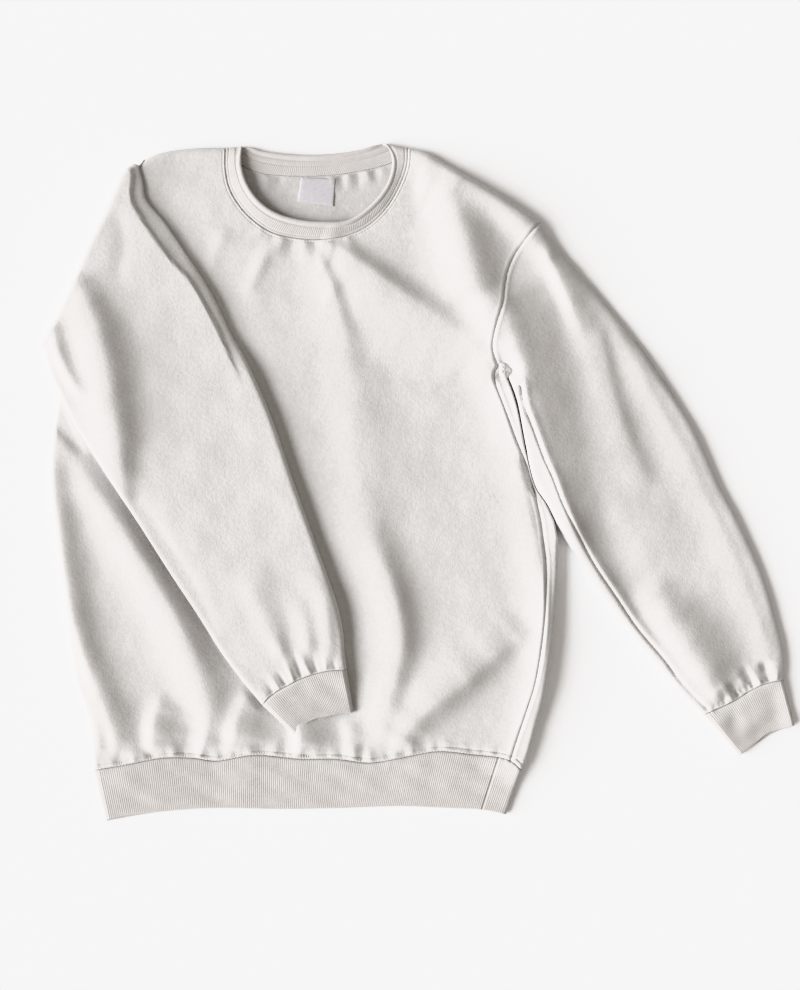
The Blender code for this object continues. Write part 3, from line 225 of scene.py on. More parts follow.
# Folds.  Each is a path of knots: x, y, height there, and width on its left and on its right,
# looking along it.  A height below nought is a trough.
BODY_FOLDS = (
    (   # edge of the straight sleeve
      (92, 110, 0, 8, 3.4), (99, 90, 2.5, 9, 3.4), (108, 62, 3.5, 10, 3.4),
      (115, 35, 3.5, 11, 3.4), (123, 5, 3.2, 11, 3.4), (137, -20, 2.6, 10, 3.4),
      (155, -49, 1.6, 8, 3.4), (180, -83, 0, 7, 3.4)),
    (   # left end of the hem
      (-351, -217, 0, 8, 8), (-343, -232, 3, 9, 7), (-337, -251, 4, 9, 7), (-334, -272, 3, 8, 6),
      (-334, -287, 0, 7, 6)),
    (   # gap between the sleeve and the body
      (106, 35, 0, 3, 3), (112, 18, -6, 3.4, 3.4), (119, -3, -7, 3.6, 3.6), (127, -17, -3, 3, 3),
      (133, -26, 0, 3, 3)),
    (   # flank on the straight sleeve
      (184, 169, 0, 8, 14), (191, 146, 2.6, 8, 16), (197, 114, 3.6, 9.5, 20),
      (205, 83, 4, 10.5, 22), (216, 49, 4, 11, 22), (229, 16, 3, 12, 20), (243, -16, 0, 12, 16)),
    (   # crest beside the underarm
      (90, 196, 0, 12, 10), (95, 173, 2.5, 14, 10), (100, 145, 3, 15, 9), (107, 117, 3, 15, 9),
      (115, 87, 3, 15, 8), (124, 56, 3, 14, 8), (135, 24, 3.5, 13, 8), (148, -13, 4, 12, 8),
      (162, -49, 3, 10, 7), (180, -86, 0, 8, 6)),
    (   # beside the lower corner of the folded sleeve
      (-380, 91, 0, 6, 6), (-375, 79, -5, 8, 7), (-372, 62, -6, 8, 7), (-362, 45, -4, 7, 6),
      (-345, 26, 0, 5, 5)),
    (   # hollow right of the folded sleeve
      (-286, 320, 0, 14, 14), (-261, 289, -2.5, 18, 18), (-229, 243, -3.5, 20, 20),
      (-200, 187, -3.5, 20, 20), (-175, 129, -3, 18, 18), (-151, 66, -2.5, 16, 16),
      (-127, 3, -2.5, 16, 16), (-101, -65, -2.5, 14, 16), (-76, -133, -2, 12, 16),
      (-67, -196, -1.5, 12, 14), (-70, -233, 0, 10, 10)),
    (   # third at the hem
      (-77, -240, 0, 10, 8), (-72, -259, 4, 14, 7), (-70, -277, 3, 13, 7), (-69, -287, 0, 10, 6)),
    (   # second at the hem
      (-263, -215, 0, 12, 8), (-272, -236, 5.2, 20, 10), (-277, -257, 8.2, 22, 9),
      (-278, -272, 6, 18, 8), (-278, -286, 0, 14, 6)),
    (   # across the chest, steep towards the shoulder
      (-106, 251, 0, 12, 20), (-88, 245, 6, 11, 22), (-64, 231, 9, 12, 34), (-36, 211, 10, 13, 44),
      (-7, 190, 9, 15, 46), (23, 169, 7.5, 19, 44), (50, 147, 6.5, 18, 36), (69, 127, 4, 14, 24),
      (77, 103, 0, 12, 16)),
    (   # from the neck down to the hem
      (-118, 255, 0, 7, 14), (-106, 236, 3.5, 7, 16), (-93, 209, 4.5, 8, 20),
      (-82, 173, 4, 10, 22), (-74, 134, 3.5, 16, 24), (-67, 87, 3.5, 30, 26), (-61, 35, 4, 40, 26),
      (-55, -18, 5, 30, 26), (-47, -58, 7, 20, 26), (-34, -93, 9, 16, 27), (-23, -128, 10, 15, 27),
      (-18, -165, 10, 15, 26), (-24, -198, 9, 14, 26), (-35, -233, 7, 14, 24),
      (-43, -265, 4, 12, 20), (-47, -282, 0, 12, 16)),
    (   # crescent from the neck to the armhole
      (-7, 314, 0, 14, 18), (12, 309, 5, 15, 20), (29, 296, 10, 20, 24), (41, 274, 14, 25, 28),
      (50, 245, 16, 28, 30), (60, 213, 16, 28, 28), (70, 187, 12, 24, 24), (76, 161, 6, 18, 16),
      (79, 138, 0, 10, 10)),
    (   # roll along the right shoulder
      (-14, 341, 0, 10, 14), (12, 332, 4, 12, 16), (44, 317, 6.5, 15, 18), (75, 298, 7.5, 17, 16),
      (99, 278, 7, 16, 14), (117, 257, 5.5, 14, 12), (130, 236, 3, 11, 9), (138, 213, 0, 8, 8)),
    (   # over the sleeve's head
      (128, 255, 0, 8, 8), (136, 236, 5, 10, 8), (145, 215, 8.5, 16, 7), (156, 192, 9, 20, 7.5),
      (166, 171, 6.5, 22, 10), (177, 147, 4.5, 24, 14), (186, 117, 2.4, 28, 18),
      (194, 85, 2, 34, 20), (199, 50, 3, 46, 26), (205, 14, 4.5, 50, 28), (217, -26, 5, 52, 26),
      (236, -68, 4, 46, 24), (255, -110, 0, 40, 22)),
    (   # beside the underarm
      (83, 210, 0, 24, 30), (90, 189, 9.8, 38, 34), (97, 161, 15.8, 44, 38),
      (104, 135, 17.8, 46, 38), (113, 108, 18.4, 47, 38), (122, 81, 18.1, 46, 38),
      (133, 50, 17.2, 43, 36), (143, 18, 15.2, 38, 33), (154, -18, 12.2, 28, 28),
      (166, -55, 9.2, 22, 20), (183, -89, 7.7, 18, 12), (200, -119, 6.6, 16, 8),
      (219, -146, 5.5, 13, 6), (241, -175, 4.4, 10, 5), (265, -205, 3.3, 8, 5),
      (287, -230, 0, 6, 5)),
    (   # wedge above the straight cuff
      (233, -97, 0, 14, 16), (249, -118, 6, 22, 20), (264, -144, 12, 29, 24),
      (281, -170, 15, 33, 26), (296, -194, 15, 32, 22), (310, -217, 10, 26, 14),
      (320, -228, 3, 14, 8), (324, -235, 0, 10, 8)),
    (   # roll along the outside of the straight sleeve
      (195, 173, 0, 6, 8), (214, 145, 1.5, 7, 12), (243, 92, 2, 8, 15), (275, 35, 2, 9, 18),
      (299, -18, 2, 9, 20), (325, -70, 2, 9, 20), (346, -123, 2, 9, 20), (361, -165, 2, 9, 16),
      (371, -191, 0, 8, 10)),
    (   # roll beside the side seam
      (77, 108, 0, 5, 14), (86, 85, 1.5, 5, 16), (96, 45, 2, 5, 18), (107, 5, 2, 5, 18),
      (117, -39, 4, 6, 20), (124, -81, 5, 7, 20), (129, -123, 5, 8, 20), (131, -165, 4.5, 8, 18),
      (128, -207, 4, 8, 16), (119, -240, 2.5, 8, 14), (111, -265, 0, 8, 12)),
    (   # low on the right
      (119, -144, 0, 13, 24), (100, -162, 5, 13, 28), (75, -182, 9, 14, 30),
      (47, -206, 13, 15, 34), (19, -226, 14, 17, 36), (-3, -246, 12.5, 17, 30),
      (-17, -265, 9, 15, 22), (-24, -282, 2, 12, 14)),
    (   # roll along the left side
      (-385, 45, 0, 10, 8), (-381, 3, 6, 14, 8), (-374, -49, 8, 16, 8), (-367, -102, 9.5, 18, 8),
      (-360, -144, 10, 18, 8), (-349, -181, 9, 18, 9), (-335, -215, 8, 18, 12),
      (-324, -240, 8, 18, 11), (-317, -265, 6, 17, 9), (-316, -278, 3, 15, 8),
      (-316, -287, 0, 12, 8)),
    (   # beside the folded sleeve
      (-385, 54, 0, 12, 14), (-364, 29, 3.2, 14, 16), (-337, -7, 6.6, 14, 20),
      (-312, -44, 8.8, 14, 22), (-287, -83, 10.3, 14, 25), (-263, -123, 11, 14.5, 27),
      (-239, -170, 11.4, 17.5, 28), (-223, -212, 9.8, 23, 25), (-217, -244, 7.4, 21, 18),
      (-219, -268, 5, 16, 14), (-221, -287, 0, 12, 10)),
    (   # under the folded cuff, left
      (-164, -211, 0, 12, 10), (-181, -232, 6.6, 26, 12), (-190, -259, 9.6, 32, 11.5),
      (-193, -274, 6, 28, 10), (-194, -287, 0, 20, 8)),
    (   # under the folded cuff, right
      (-135, -232, 0, 12, 8), (-127, -251, 8, 24, 7), (-124, -270, 10, 26, 7),
      (-124, -278, 6, 22, 6), (-124, -287, 0, 16, 6)),
    (   # short one under the neck
      (-140, 257, 0, 6, 8), (-156, 243, 2.2, 7, 8), (-166, 226, 3, 8, 9), (-175, 207, 1.5, 8, 9),
      (-181, 192, 0, 8, 9)),
    (   # left of the neck
      (-192, 271, 0, 8, 8), (-206, 255, 1.6, 9, 9), (-215, 232, 1.8, 9, 9), (-217, 213, 0, 9, 9)),
)
OVER_FOLDS = (
    (   # corner of the folded sleeve
      (-382, 175, 0, 8, 6), (-380, 156, 5, 10, 7), (-374, 133, 6.5, 10, 7), (-362, 108, 4.5, 8, 6),
      (-343, 83, 0, 6, 5)),
    (   # from the fold down
      (-362, 222, 0, 8, 10), (-353, 205, 5, 14, 18), (-343, 182, 9.5, 18, 26),
      (-333, 155, 12.3, 21, 30), (-325, 124, 13.2, 22, 32), (-319, 87, 13.2, 21, 32),
      (-313, 50, 12, 18, 30), (-310, 19, 9, 14, 24), (-307, -9, 4, 11, 16),
      (-305, -26, 0, 10, 12)),
    (   # trough along the lower edge
      (-305, -7, 0, 9, 9), (-282, -41, -3, 9, 9), (-255, -86, -3.6, 9, 9), (-226, -135, -3, 9, 9),
      (-211, -167, 0, 9, 9)),
    (   # under the fold
      (-316, 292, 0, 8, 8), (-311, 271, -1, 7, 8), (-307, 250, -1.4, 7, 9),
      (-311, 226, -1.2, 8, 9), (-318, 201, 0, 8, 9)),
    (   # down the middle
      (-177, -81, 0, 20, 16), (-169, -112, 2, 18, 14), (-158, -144, 3, 16, 12),
      (-144, -173, 3.6, 8, 10), (-139, -188, 0, 6, 8)),
    (   # beside the right edge
      (-129, -112, 0, 10, 12), (-120, -139, 2.5, 10, 12), (-115, -165, 3.4, 9, 10),
      (-113, -186, 0, 7, 8)),
    (   # last before the cuff
      (-124, -87, 0, 10, 14), (-101, -112, 2.6, 9, 14), (-95, -144, 3.4, 9, 12),
      (-93, -175, 2.4, 8, 10), (-91, -194, 0, 7, 8)),
)
# Bumps: height, radius, centre
BODY_BUMPS = (
    (-9.0, 11.5, (90, 117)),     # the hollow round the knot of seams under the arm
    (-3.5, 5.0, (83, 110)),
    (-3.5, 4.5, (99, 116)),
    (2.2, 10.0, (340, -213)), (-6.0, 5.0, (341, -215)),      # round gathers above the cuff
    (2.2, 10.0, (362, -190)), (-6.0, 5.0, (362, -192)),
)
KNOT_CENTRE, KNOT_SIZE, KNOT_RISE = (90.5, 118.0), (8.2, 9.2), 9.2
KNOT_BESIDE = (82, 127)     # the cloth beside the knot, whose height it takes
KNOT_SINK = 0.4             # how far below that cloth the knot's top stays
KNOT_LEAN = 0.24            # its fall towards the right, in mm for each mm

# Slow swells of the cloth: height, length of the waves, seed
BODY_SWELLS = ((0.35, 70, 3), (0.1, 22, 4))
OVER_SWELLS = ((0.35, 60, 5), (0.1, 20, 6))
BACK_SWELLS = ((0.9, 46, 12), (0.35, 19, 13))

# Gathers beside a seam, each (place along the seam, height, half width, reach).  A gather below
# nought is a notch.  The rest of the seam is gathered at random within these limits.
HEM_GATHERS = (
    (30, -1.8, 5, 26), (44, 1.6, 6, 30), (62, -1.6, 5, 22), (84, 1.8, 6, 30), (98, -1.6, 7, 44),
    (112, 2.0, 5, 46), (152, -1.0, 5, 20), (166, 0.8, 5, 20), (178, -1.0, 5, 20),
    (192, 1.2, 4, 24), (202, -1.2, 4, 22), (214, 0.9, 4, 20), (226, -1.0, 5, 20),
    (238, 0.8, 5, 20), (262, -1.6, 4, 20), (272, 1.8, 4, 24), (282, -2.0, 4, 24),
    (293, 1.8, 4, 24), (312, -1.4, 5, 22), (336, 1.5, 5, 26), (350, -1.4, 5, 22),
    (372, 1.2, 6, 22), (398, -1.0, 6, 20), (420, 1.2, 6, 22),
)
STRAIGHT_CUFF_GATHERS = (
    (16, 1.2, 3.2, 20), (25, -2.0, 2.4, 20), (33, 2.6, 3.2, 30), (42, -3.2, 2.4, 28),
    (50, 3.2, 3.2, 34), (59, -3.4, 2.4, 32), (67, 3.0, 3.2, 34), (76, -3.0, 2.4, 30),
    (84, 2.0, 3.0, 24),
)
FOLDED_CUFF_GATHERS = (
    (9, 1.2, 3.2, 18), (17, -2.2, 2.4, 16), (25, 2.0, 3.0, 24), (33, -2.6, 2.4, 22),
    (42, 2.4, 3.2, 34), (51, -3.0, 2.4, 34), (60, 2.4, 3.4, 34), (68, -2.0, 2.6, 24),
    (77, 1.6, 3.4, 24), (86, -1.2, 2.6, 16),
)
NECK_GATHERS = (
    (96, 0.8, 5, 20), (110, -1.0, 4, 24), (121, 1.3, 4.4, 30), (132, -1.3, 4, 26),
    (143, 1.4, 4.4, 32), (153, -1.2, 3.6, 24), (163, 1.4, 4.4, 34), (175, -1.2, 4, 28),
    (188, 1.2, 5, 26),
)
BACK_NECK_GATHERS = (
    (28, 1.0, 5, 24), (41, -1.6, 6, 26), (54, 1.2, 5, 24), (67, -0.9, 4, 18),
    (120, 1.2, 3.4, 22), (130, -1.4, 3, 20), (139, 1.2, 3.2, 24), (148, -1.5, 3, 24),
    (157, 1.2, 3.4, 22), (166, -1.2, 3, 18), (175, 1.0, 4, 18),
)


# --------------------------------------------------------------------------- curves in plan

def smooth(points, per_span=8):
    """Points along a centripetal Catmull-Rom curve through the given ones."""
    given = np.array(points, float)
    ends = np.vstack([2 * given[0] - given[1], given, 2 * given[-1] - given[-2]])
    out = []
    for before, start, stop, after in zip(ends, ends[1:], ends[2:], ends[3:]):
        gap_in, gap, gap_out = (np.linalg.norm(step) ** 0.5
                                for step in (start - before, stop - start, after - stop))
        lead_in = gap * ((start - before) / gap_in - (stop - before) / (gap_in + gap)
                         + (stop - start) / gap)
        lead_out = gap * ((stop - start) / gap - (after - start) / (gap + gap_out)
                          + (after - stop) / gap_out)
        t = np.linspace(0, 1, per_span, endpoint=False)[:, None]
        out.append((2 * t**3 - 3 * t**2 + 1) * start + (t**3 - 2 * t**2 + t) * lead_in
                   + (3 * t**2 - 2 * t**3) * stop + (t**3 - t**2) * lead_out)
    return np.vstack(out + [given[-1:]])


def run_of(line):
    """Distance from the start of a line to each of its points."""
    return np.concatenate([[0], np.cumsum(np.linalg.norm(np.diff(line, axis=0), axis=1))])


def along(line, distances, values=None):
    """Points, or other values given at the line's points, at these distances along it."""
    run = run_of(line)
    values = line if values is None else values
    return np.stack([np.interp(distances, run, values[:, k]) for k in range(values.shape[1])], 1)


def stepped(points, step):
    """A smooth curve through the points, with a point about every step."""
    line = smooth(points)
    length = run_of(line)[-1]
    return along(line, np.linspace(0, length, max(2, int(round(length / step)) + 1)))


def nearest(spots, line, far=None):
    """For each spot: distance to the line, which side of it (+1 left), how far along it, and the
    nearest point.  Spots outside the line's box by more than far are only given that distance."""
    gap = np.full(len(spots), 1e6 if far is None else far)
    side, place, closest = np.zeros(len(spots)), np.zeros(len(spots)), spots.copy()
    todo = np.arange(len(spots))
    if far is not None:
        low, high = line.min(0) - far, line.max(0) + far
        todo = np.nonzero(((spots > low) & (spots < high)).all(1))[0]
    start, step = line[:-1], np.diff(line, axis=0)
    length = np.linalg.norm(step, axis=1)
    run = run_of(line)
    for part in np.array_split(todo, len(todo) // 3000 + 1):
        offset = spots[part, None, :] - start[None]
        t = np.clip((offset * step).sum(2) / length**2, 0, 1)
        away = offset - t[..., None] * step[None]
        reach = (away**2).sum(2)
        best = reach.argmin(1)
        row = np.arange(len(part))
        gap[part] = np.sqrt(reach[row, best])
        side[part] = np.sign(step[best, 0] * offset[row, best, 1]
                             - step[best, 1] * offset[row, best, 0])
        place[part] = run[best] + t[row, best] * length[best]
        closest[part] = start[best] + t[row, best][:, None] * step[best]
    return gap, side, place, closest


def inside(spots, ring):
    """Whether each spot lies inside a closed ring of plan points."""
    out = np.zeros(len(spots), bool)
    ax, ay = ring[:, 0], ring[:, 1]
    bx, by = np.roll(ax, -1), np.roll(ay, -1)
    rise = np.where(by == ay, 1e-9, by - ay)
    for part in np.array_split(np.arange(len(spots)), len(spots) // 4000 + 1):
        x, y = spots[part, 0][:, None], spots[part, 1][:, None]
        crossing = ((ay > y) != (by > y)) & (x < (bx - ax) * (y - ay) / rise + ax)
        out[part] = crossing.sum(1) % 2 == 1
    return out


def unit(vectors):
    return vectors / np.maximum(np.linalg.norm(vectors, axis=-1, keepdims=True), 1e-12)


def beside(line, gap):
    """A line moved to its left by a gap."""
    direction = unit(np.gradient(line, axis=0))
    return line + gap * np.stack([-direction[:, 1], direction[:, 0]], axis=1)


# --------------------------------------------------------------------------- heights over the plan

def dome(distance, run):
    """Quarter ellipse: 0 at an edge, 1 from run inwards."""
    return np.sqrt(1 - (1 - np.clip(distance / run, 0, 1)) ** 2)


def ease(t):
    t = np.clip(t, 0, 1)
    return t * t * (3 - 2 * t)


def at_least(height, floor, blend=1.0):
    """The greater of the two, blended where they meet."""
    return 0.5 * (height + floor + np.sqrt((height - floor) ** 2 + blend**2))


def ridge(way, height, width, middle=0.0):
    """Height of a ridge at this way across it; a groove where its height is below nought."""
    return height * np.exp(-((way - middle) / width) ** 2)


def swell(spots, scale, seed):
    """Slow random rise and fall, about -1 to 1, from a few waves in random directions."""
    rng = np.random.default_rng(seed)
    total = np.zeros(len(spots))
    for _ in range(9):
        angle, phase = rng.uniform(0, 2 * np.pi), rng.uniform(0, 2 * np.pi)
        stretch = rng.uniform(0.6, 1.7)
        way = np.array([np.cos(angle), np.sin(angle)]) * 2 * np.pi / (scale * stretch)
        total += np.sin(spots @ way + phase)
    return total / 3.0


def swells(spots, table):
    return sum(height * swell(spots, scale, seed) for height, scale, seed in table)


def folds(spots, table):
    """Folds that follow their paths; height and widths go smoothly from knot to knot."""
    total = np.zeros(len(spots))
    for knots in table:
        knots = np.array(knots, float)
        line = smooth(knots[:, :2], FOLD_KNOT_POINTS)
        far = 2.5 * knots[:, 3:].max()      # where nothing is left of the widest part
        gap, side, place, _ = nearest(spots, line, far)
        near = gap < far
        knot = np.interp(place[near], run_of(line), np.arange(len(line)) / FOLD_KNOT_POINTS)
        knot = np.floor(knot) + ease(knot % 1)
        height, left, right = (np.interp(knot, np.arange(len(knots)), knots[:, k])
                               for k in (2, 3, 4))
        total[near] += ridge(gap[near], height, np.where(side[near] > 0, left, right))
    return total


def bumps(spots, table):
    return sum(ridge(np.linalg.norm(spots - np.array(centre), axis=1), height, radius)
               for height, radius, centre in table)


def fine_gathers(first, last, seed, pitch=6.5, height=0.55, reach=13.0):
    """Small uneven gathers all along a seam."""
    rng = np.random.default_rng(seed)
    out, place = [], first
    while place < last:
        sign = 1 if rng.random() < 0.5 else -1
        out.append((place, sign * height * rng.uniform(0.5, 1.5), rng.uniform(1.5, 2.8),
                    reach * rng.uniform(0.6, 1.4)))
        place += pitch * rng.uniform(0.55, 1.3)
    return tuple(out)


def gathers(spots, line, table, panel_side):
    """Ridges and notches nearly square to a seam, on one side of it, that fade by their reach."""
    far = 1.15 * max(reach for *_, reach in table)
    gap, side, place, _ = nearest(spots, line, far)
    total = np.zeros(len(spots))
    near = (gap < far) & (side * panel_side > 0)
    gap, place = gap[near], place[near]
    rise = np.zeros(len(gap))
    fade_from, fade_over = GATHER_FADE
    for number, (at, height, width, reach) in enumerate(table):
        lean = GATHER_LEAN * np.sin(1.7 * number + 0.4)
        across = place - at - lean * gap
        spread = width * (0.75 + 0.5 * gap / reach)
        faded = ease((gap / reach - fade_from) / fade_over)
        rise += ridge(across, height, spread) * ease(gap / GATHER_START) * (1 - faded)
    total[near] = rise
    return total


def seam_relief(gap, side, row=STITCH_ROW):
    """Groove of a seam, and on its left a stitched row with a raised strip between the two."""
    strip = ridge(gap, CHANNEL_RISE, row / 3, row / 2)
    stitched = ridge(gap, STITCH_DIP * row / STITCH_ROW, STITCH_WIDTH, row)
    return (side >= 0) * (strip - stitched) - ridge(gap, SEAM_DIP, SEAM_WIDTH)


def stitched_seam(spots, line, table, panel_side=1, row=STITCH_ROW, reach=SEAM_REACH):
    """Relief of a seam with its row of stitches and its gathers, on one side of it."""
    gap, side, _, _ = nearest(spots, line, reach)
    return (gathers(spots, line, table, panel_side)
            + seam_relief(gap, panel_side * side, row) * (gap < reach))


def plain_seam(spots, line, strength):
    """A seam with no stitches showing: a groove between two soft rolls."""
    gap = nearest(spots, line, SEAM_REACH)[0]
    relief = ridge(gap, *PLAIN_ROLL) - ridge(gap, PLAIN_DIP, PLAIN_WIDTH)
    return strength * relief * (gap < SEAM_REACH)


def underarm_seam(spots):
    """The straight sleeve's seam: a groove with a roll on its left, deepest at its top."""
    far = 2 * SEAM_REACH
    gap, side, place, _ = nearest(spots, UNDERARM_LINE, far)
    relief = ridge(gap, *UNDERARM_ROLL) * (side > 0) * (gap < far)
    relief -= ridge(gap, UNDERARM_DIP, UNDERARM_WIDTH)
    return relief * (1 + 0.5 * (1 - ease(place / UNDERARM_FADE)))


def fold_inner_line():
    """The line that the folded sleeve turns about, just inside its fold."""
    line = smooth(FOLD_LINE)
    chord = line[-1] - line[0]
    inward = np.array([chord[1], -chord[0]]) / np.linalg.norm(chord)
    return line + FOLD_RUN * inward


FOLD_INNER = fold_inner_line()
# The body's right side goes up its own edge and then beside the straight sleeve
LOWER_RIGHT = smooth(LOWER_RIGHT_SIDE)
BODY_RIGHT = np.vstack([LOWER_RIGHT, smooth(STRAIGHT_INNER[:8])[::-1][1:] - (SIDE_GAP, 0)])
# Turned edges: the line, the extra height beside it, how far in that reaches, and the turn's run
UNDER_EDGES = (
    (smooth(LEFT_SIDE), -1.2, 26.0, 4.5),
    (smooth(LEFT_SHOULDER), 1.0, 26.0, 7.0),
    (smooth(RIGHT_SHOULDER), 3.5, 26.0, 8.0),
    (LOWER_RIGHT, 8.0, 22.0, 4.5),
    (BODY_RIGHT[len(LOWER_RIGHT) - 1:], 0.0, 26.0, 2.4),
    (smooth(STRAIGHT_OUTER[:4]), 0.0, 26.0, 9.0),
    (smooth(STRAIGHT_OUTER[:7]), 2.0, 26.0, 10.0),
    (smooth(STRAIGHT_OUTER[6:]), 3.0, 26.0, 9.0),
    (smooth(STRAIGHT_INNER[:8]), 0.0, 26.0, 2.6),
    (smooth(STRAIGHT_INNER[7:]), -1.5, 26.0, 4.5),
    (np.array([LEFT_ARMHOLE[0], FOLD_INNER[0]]), -1.2, 26.0, 4.5),
    (np.array([LEFT_ARMHOLE[-1], FOLD_INNER[-1]]), 1.0, 26.0, 7.0))
OVER_OUTER = smooth((tuple(FOLD_INNER[0]), *FOLDED_OUTER))
OVER_INNER = smooth((tuple(FOLD_INNER[-1]), *FOLDED_INNER))
OVER_EDGES = ((OVER_OUTER, -2.0, 30.0, 5.0), (OVER_INNER, 1.5, 30.0, 5.0))
FOLDED_OUTLINE = np.vstack([OVER_OUTER, OVER_INNER[::-1]])
HEM_LINE = smooth((*HEM_SEAM, HEM_CORNER))
HEM_SPLIT = run_of(HEM_LINE)[-9]     # where the side seam meets the hem seam
NECK_LINE = smooth(FRONT_NECK)
BACK_NECK_LINE = smooth(BACK_NECK)
NECK_HOLE = np.vstack([NECK_LINE, BACK_NECK_LINE[::-1]])
ARM_LINE = smooth(RIGHT_ARMHOLE)
SIDE_LINE = smooth(SIDE_SEAM)
UNDERARM_LINE = smooth(STRAIGHT_UNDERARM)
STRAIGHT_CUFF_LINE = smooth(STRAIGHT_CUFF_SEAM)
FOLDED_CUFF_LINE = smooth(FOLDED_CUFF_SEAM)
LIP_LINE = smooth(FOLDED_LIP)
HEM_ALL = HEM_GATHERS + fine_gathers(8, 440, SEED)
NECK_ALL = NECK_GATHERS + fine_gathers(30, 380, SEED + 1, 8.0, 0.3, 9.0)
STRAIGHT_CUFF_ALL = STRAIGHT_CUFF_GATHERS + fine_gathers(8, 86, SEED + 2, 4.5, 0.4, 9.0)
FOLDED_CUFF_ALL = FOLDED_CUFF_GATHERS + fine_gathers(8, 92, SEED + 3, 4.5, 0.4, 9.0)


def edges_at(spots, edges):
    """The extra height beside the edges, the turn (0 at an edge to 1), and the way to the edge."""
    extra, turn, closest = np.zeros(len(spots)), np.ones(len(spots)), spots + (0, 1.0)
    for line, puff, reach, run in edges:
        gap, _, _, point = nearest(spots, line, 3 * reach)
        extra += ridge(gap, puff, reach)
        here = dome(gap, run)
        closer = here < turn
        turn[closer], closest[closer] = here[closer], point[closer]
    return extra, turn, unit(closest - spots)


def under_base(spots):
    """Height of the body where the folded sleeve hides it."""
    return LIE + edges_at(spots, UNDER_EDGES)[0]


def under_full(spots):
    """Height of the body and the straight sleeve before their turned edges, the turn (0 at an
    edge to 1), and the way to the edge."""
    extra, turn, outward = edges_at(spots, UNDER_EDGES)
    covered = 1 - ease(nearest(spots, FOLDED_OUTLINE, 2 * COVER_FADE)[0] / COVER_FADE)
    covered = np.where(inside(spots, FOLDED_OUTLINE), 1.0, covered)
    height = LIE + extra
    height += (1 - covered) * (folds(spots, BODY_FOLDS) + swells(spots, BODY_SWELLS))
    height = at_least(height + bumps(spots, BODY_BUMPS), LEAST_TOP)
    height += stitched_seam(spots, HEM_LINE, HEM_ALL, row=HEM_STITCH_ROW, reach=HEM_SEAM_REACH)
    height += stitched_seam(spots, NECK_LINE, NECK_ALL, panel_side=-1)
    height += stitched_seam(spots, STRAIGHT_CUFF_LINE, STRAIGHT_CUFF_ALL)
    height += plain_seam(spots, ARM_LINE, ARM_SEAM_RELIEF)
    height += plain_seam(spots, SIDE_LINE, SIDE_SEAM_RELIEF)
    height += underarm_seam(spots)
    return np.maximum(height, 2.2 * FLEECE), turn, outward


def over_layers(spots):
    """Heights of the folded sleeve's underside and top, before its turned edges."""
    below = under_base(spots) + LAP_GAP
    top = LIE + LAP_GAP + OVER_RISE + edges_at(spots, OVER_EDGES)[0]
    top += folds(spots, OVER_FOLDS) + swells(spots, OVER_SWELLS)
    top += stitched_seam(spots, FOLDED_CUFF_LINE, FOLDED_CUFF_ALL)
    gap, side, place, _ = nearest(spots, LIP_LINE, 60.0)
    past_lip = np.where(side > 0, 1 + LIP_LEAN * np.minimum(gap, LIP_LEAN_RUN),
                        1 - dome(gap, LIP_RUN))
    past_lip *= ease((1 - place / run_of(LIP_LINE)[-1]) / LIP_END)
    least = below + LEAST_TOP + LIP_LEAST * np.clip(1 - past_lip, -0.4, 1)
    return below, at_least(top - LIP_DROP * past_lip, least)


# --------------------------------------------------------------------------- meshes

def add_to_scene(name, data):
    thing = bpy.data.objects.new(name, data)
    bpy.context.scene.collection.objects.link(thing)
    return thing


def make_piece(name, points, faces, material, nodes=()):
    """A mesh of these points in mm, riding on the garment and standing in for these nodes."""
    mesh = bpy.data.meshes.new(name)
    mesh.from_pydata((np.asarray(points) * MM).tolist(), [], [list(map(int, f)) for f in faces])
    mesh.validate()
    mesh.update()
    mesh.shade_smooth()
    mesh.materials.append(material)
    thing = add_to_scene(name, mesh)
    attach(thing, "root")
    if nodes:
        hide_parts(*nodes)
    return thing


def shell(points, faces, inner):
    """Close an open skin with its inner side and its rims."""
    faces = np.asarray(faces)
    count = len(points)
    sides = np.concatenate([faces[:, [0, 1]], faces[:, [1, 2]], faces[:, [2, 0]]])
    known = {(a, b) for a, b in sides.tolist()}
    rims = [(b, a, a + count, b + count) for a, b in sides.tolist() if (b, a) not in known]
    closed = faces.tolist() + (faces[:, ::-1] + count).tolist() + rims
    return np.vstack([points, inner]), closed


def joined(*runs):
    """One closed ring from runs of plan points that meet end to end, and the ring numbers of each
    run's points."""
    ring, places = [], []
    total = sum(len(points) - 1 for points in runs)
    for points in runs:
        places.append([(len(ring) + k) % total for k in range(len(points))])
        ring.extend(points[:-1])
    return np.array(ring), places


def in_use(faces):
    """The points that faces use, and the faces numbered over them."""
    used, renumbered = np.unique(faces, return_inverse=True)
    return used, renumbered.reshape(faces.shape)


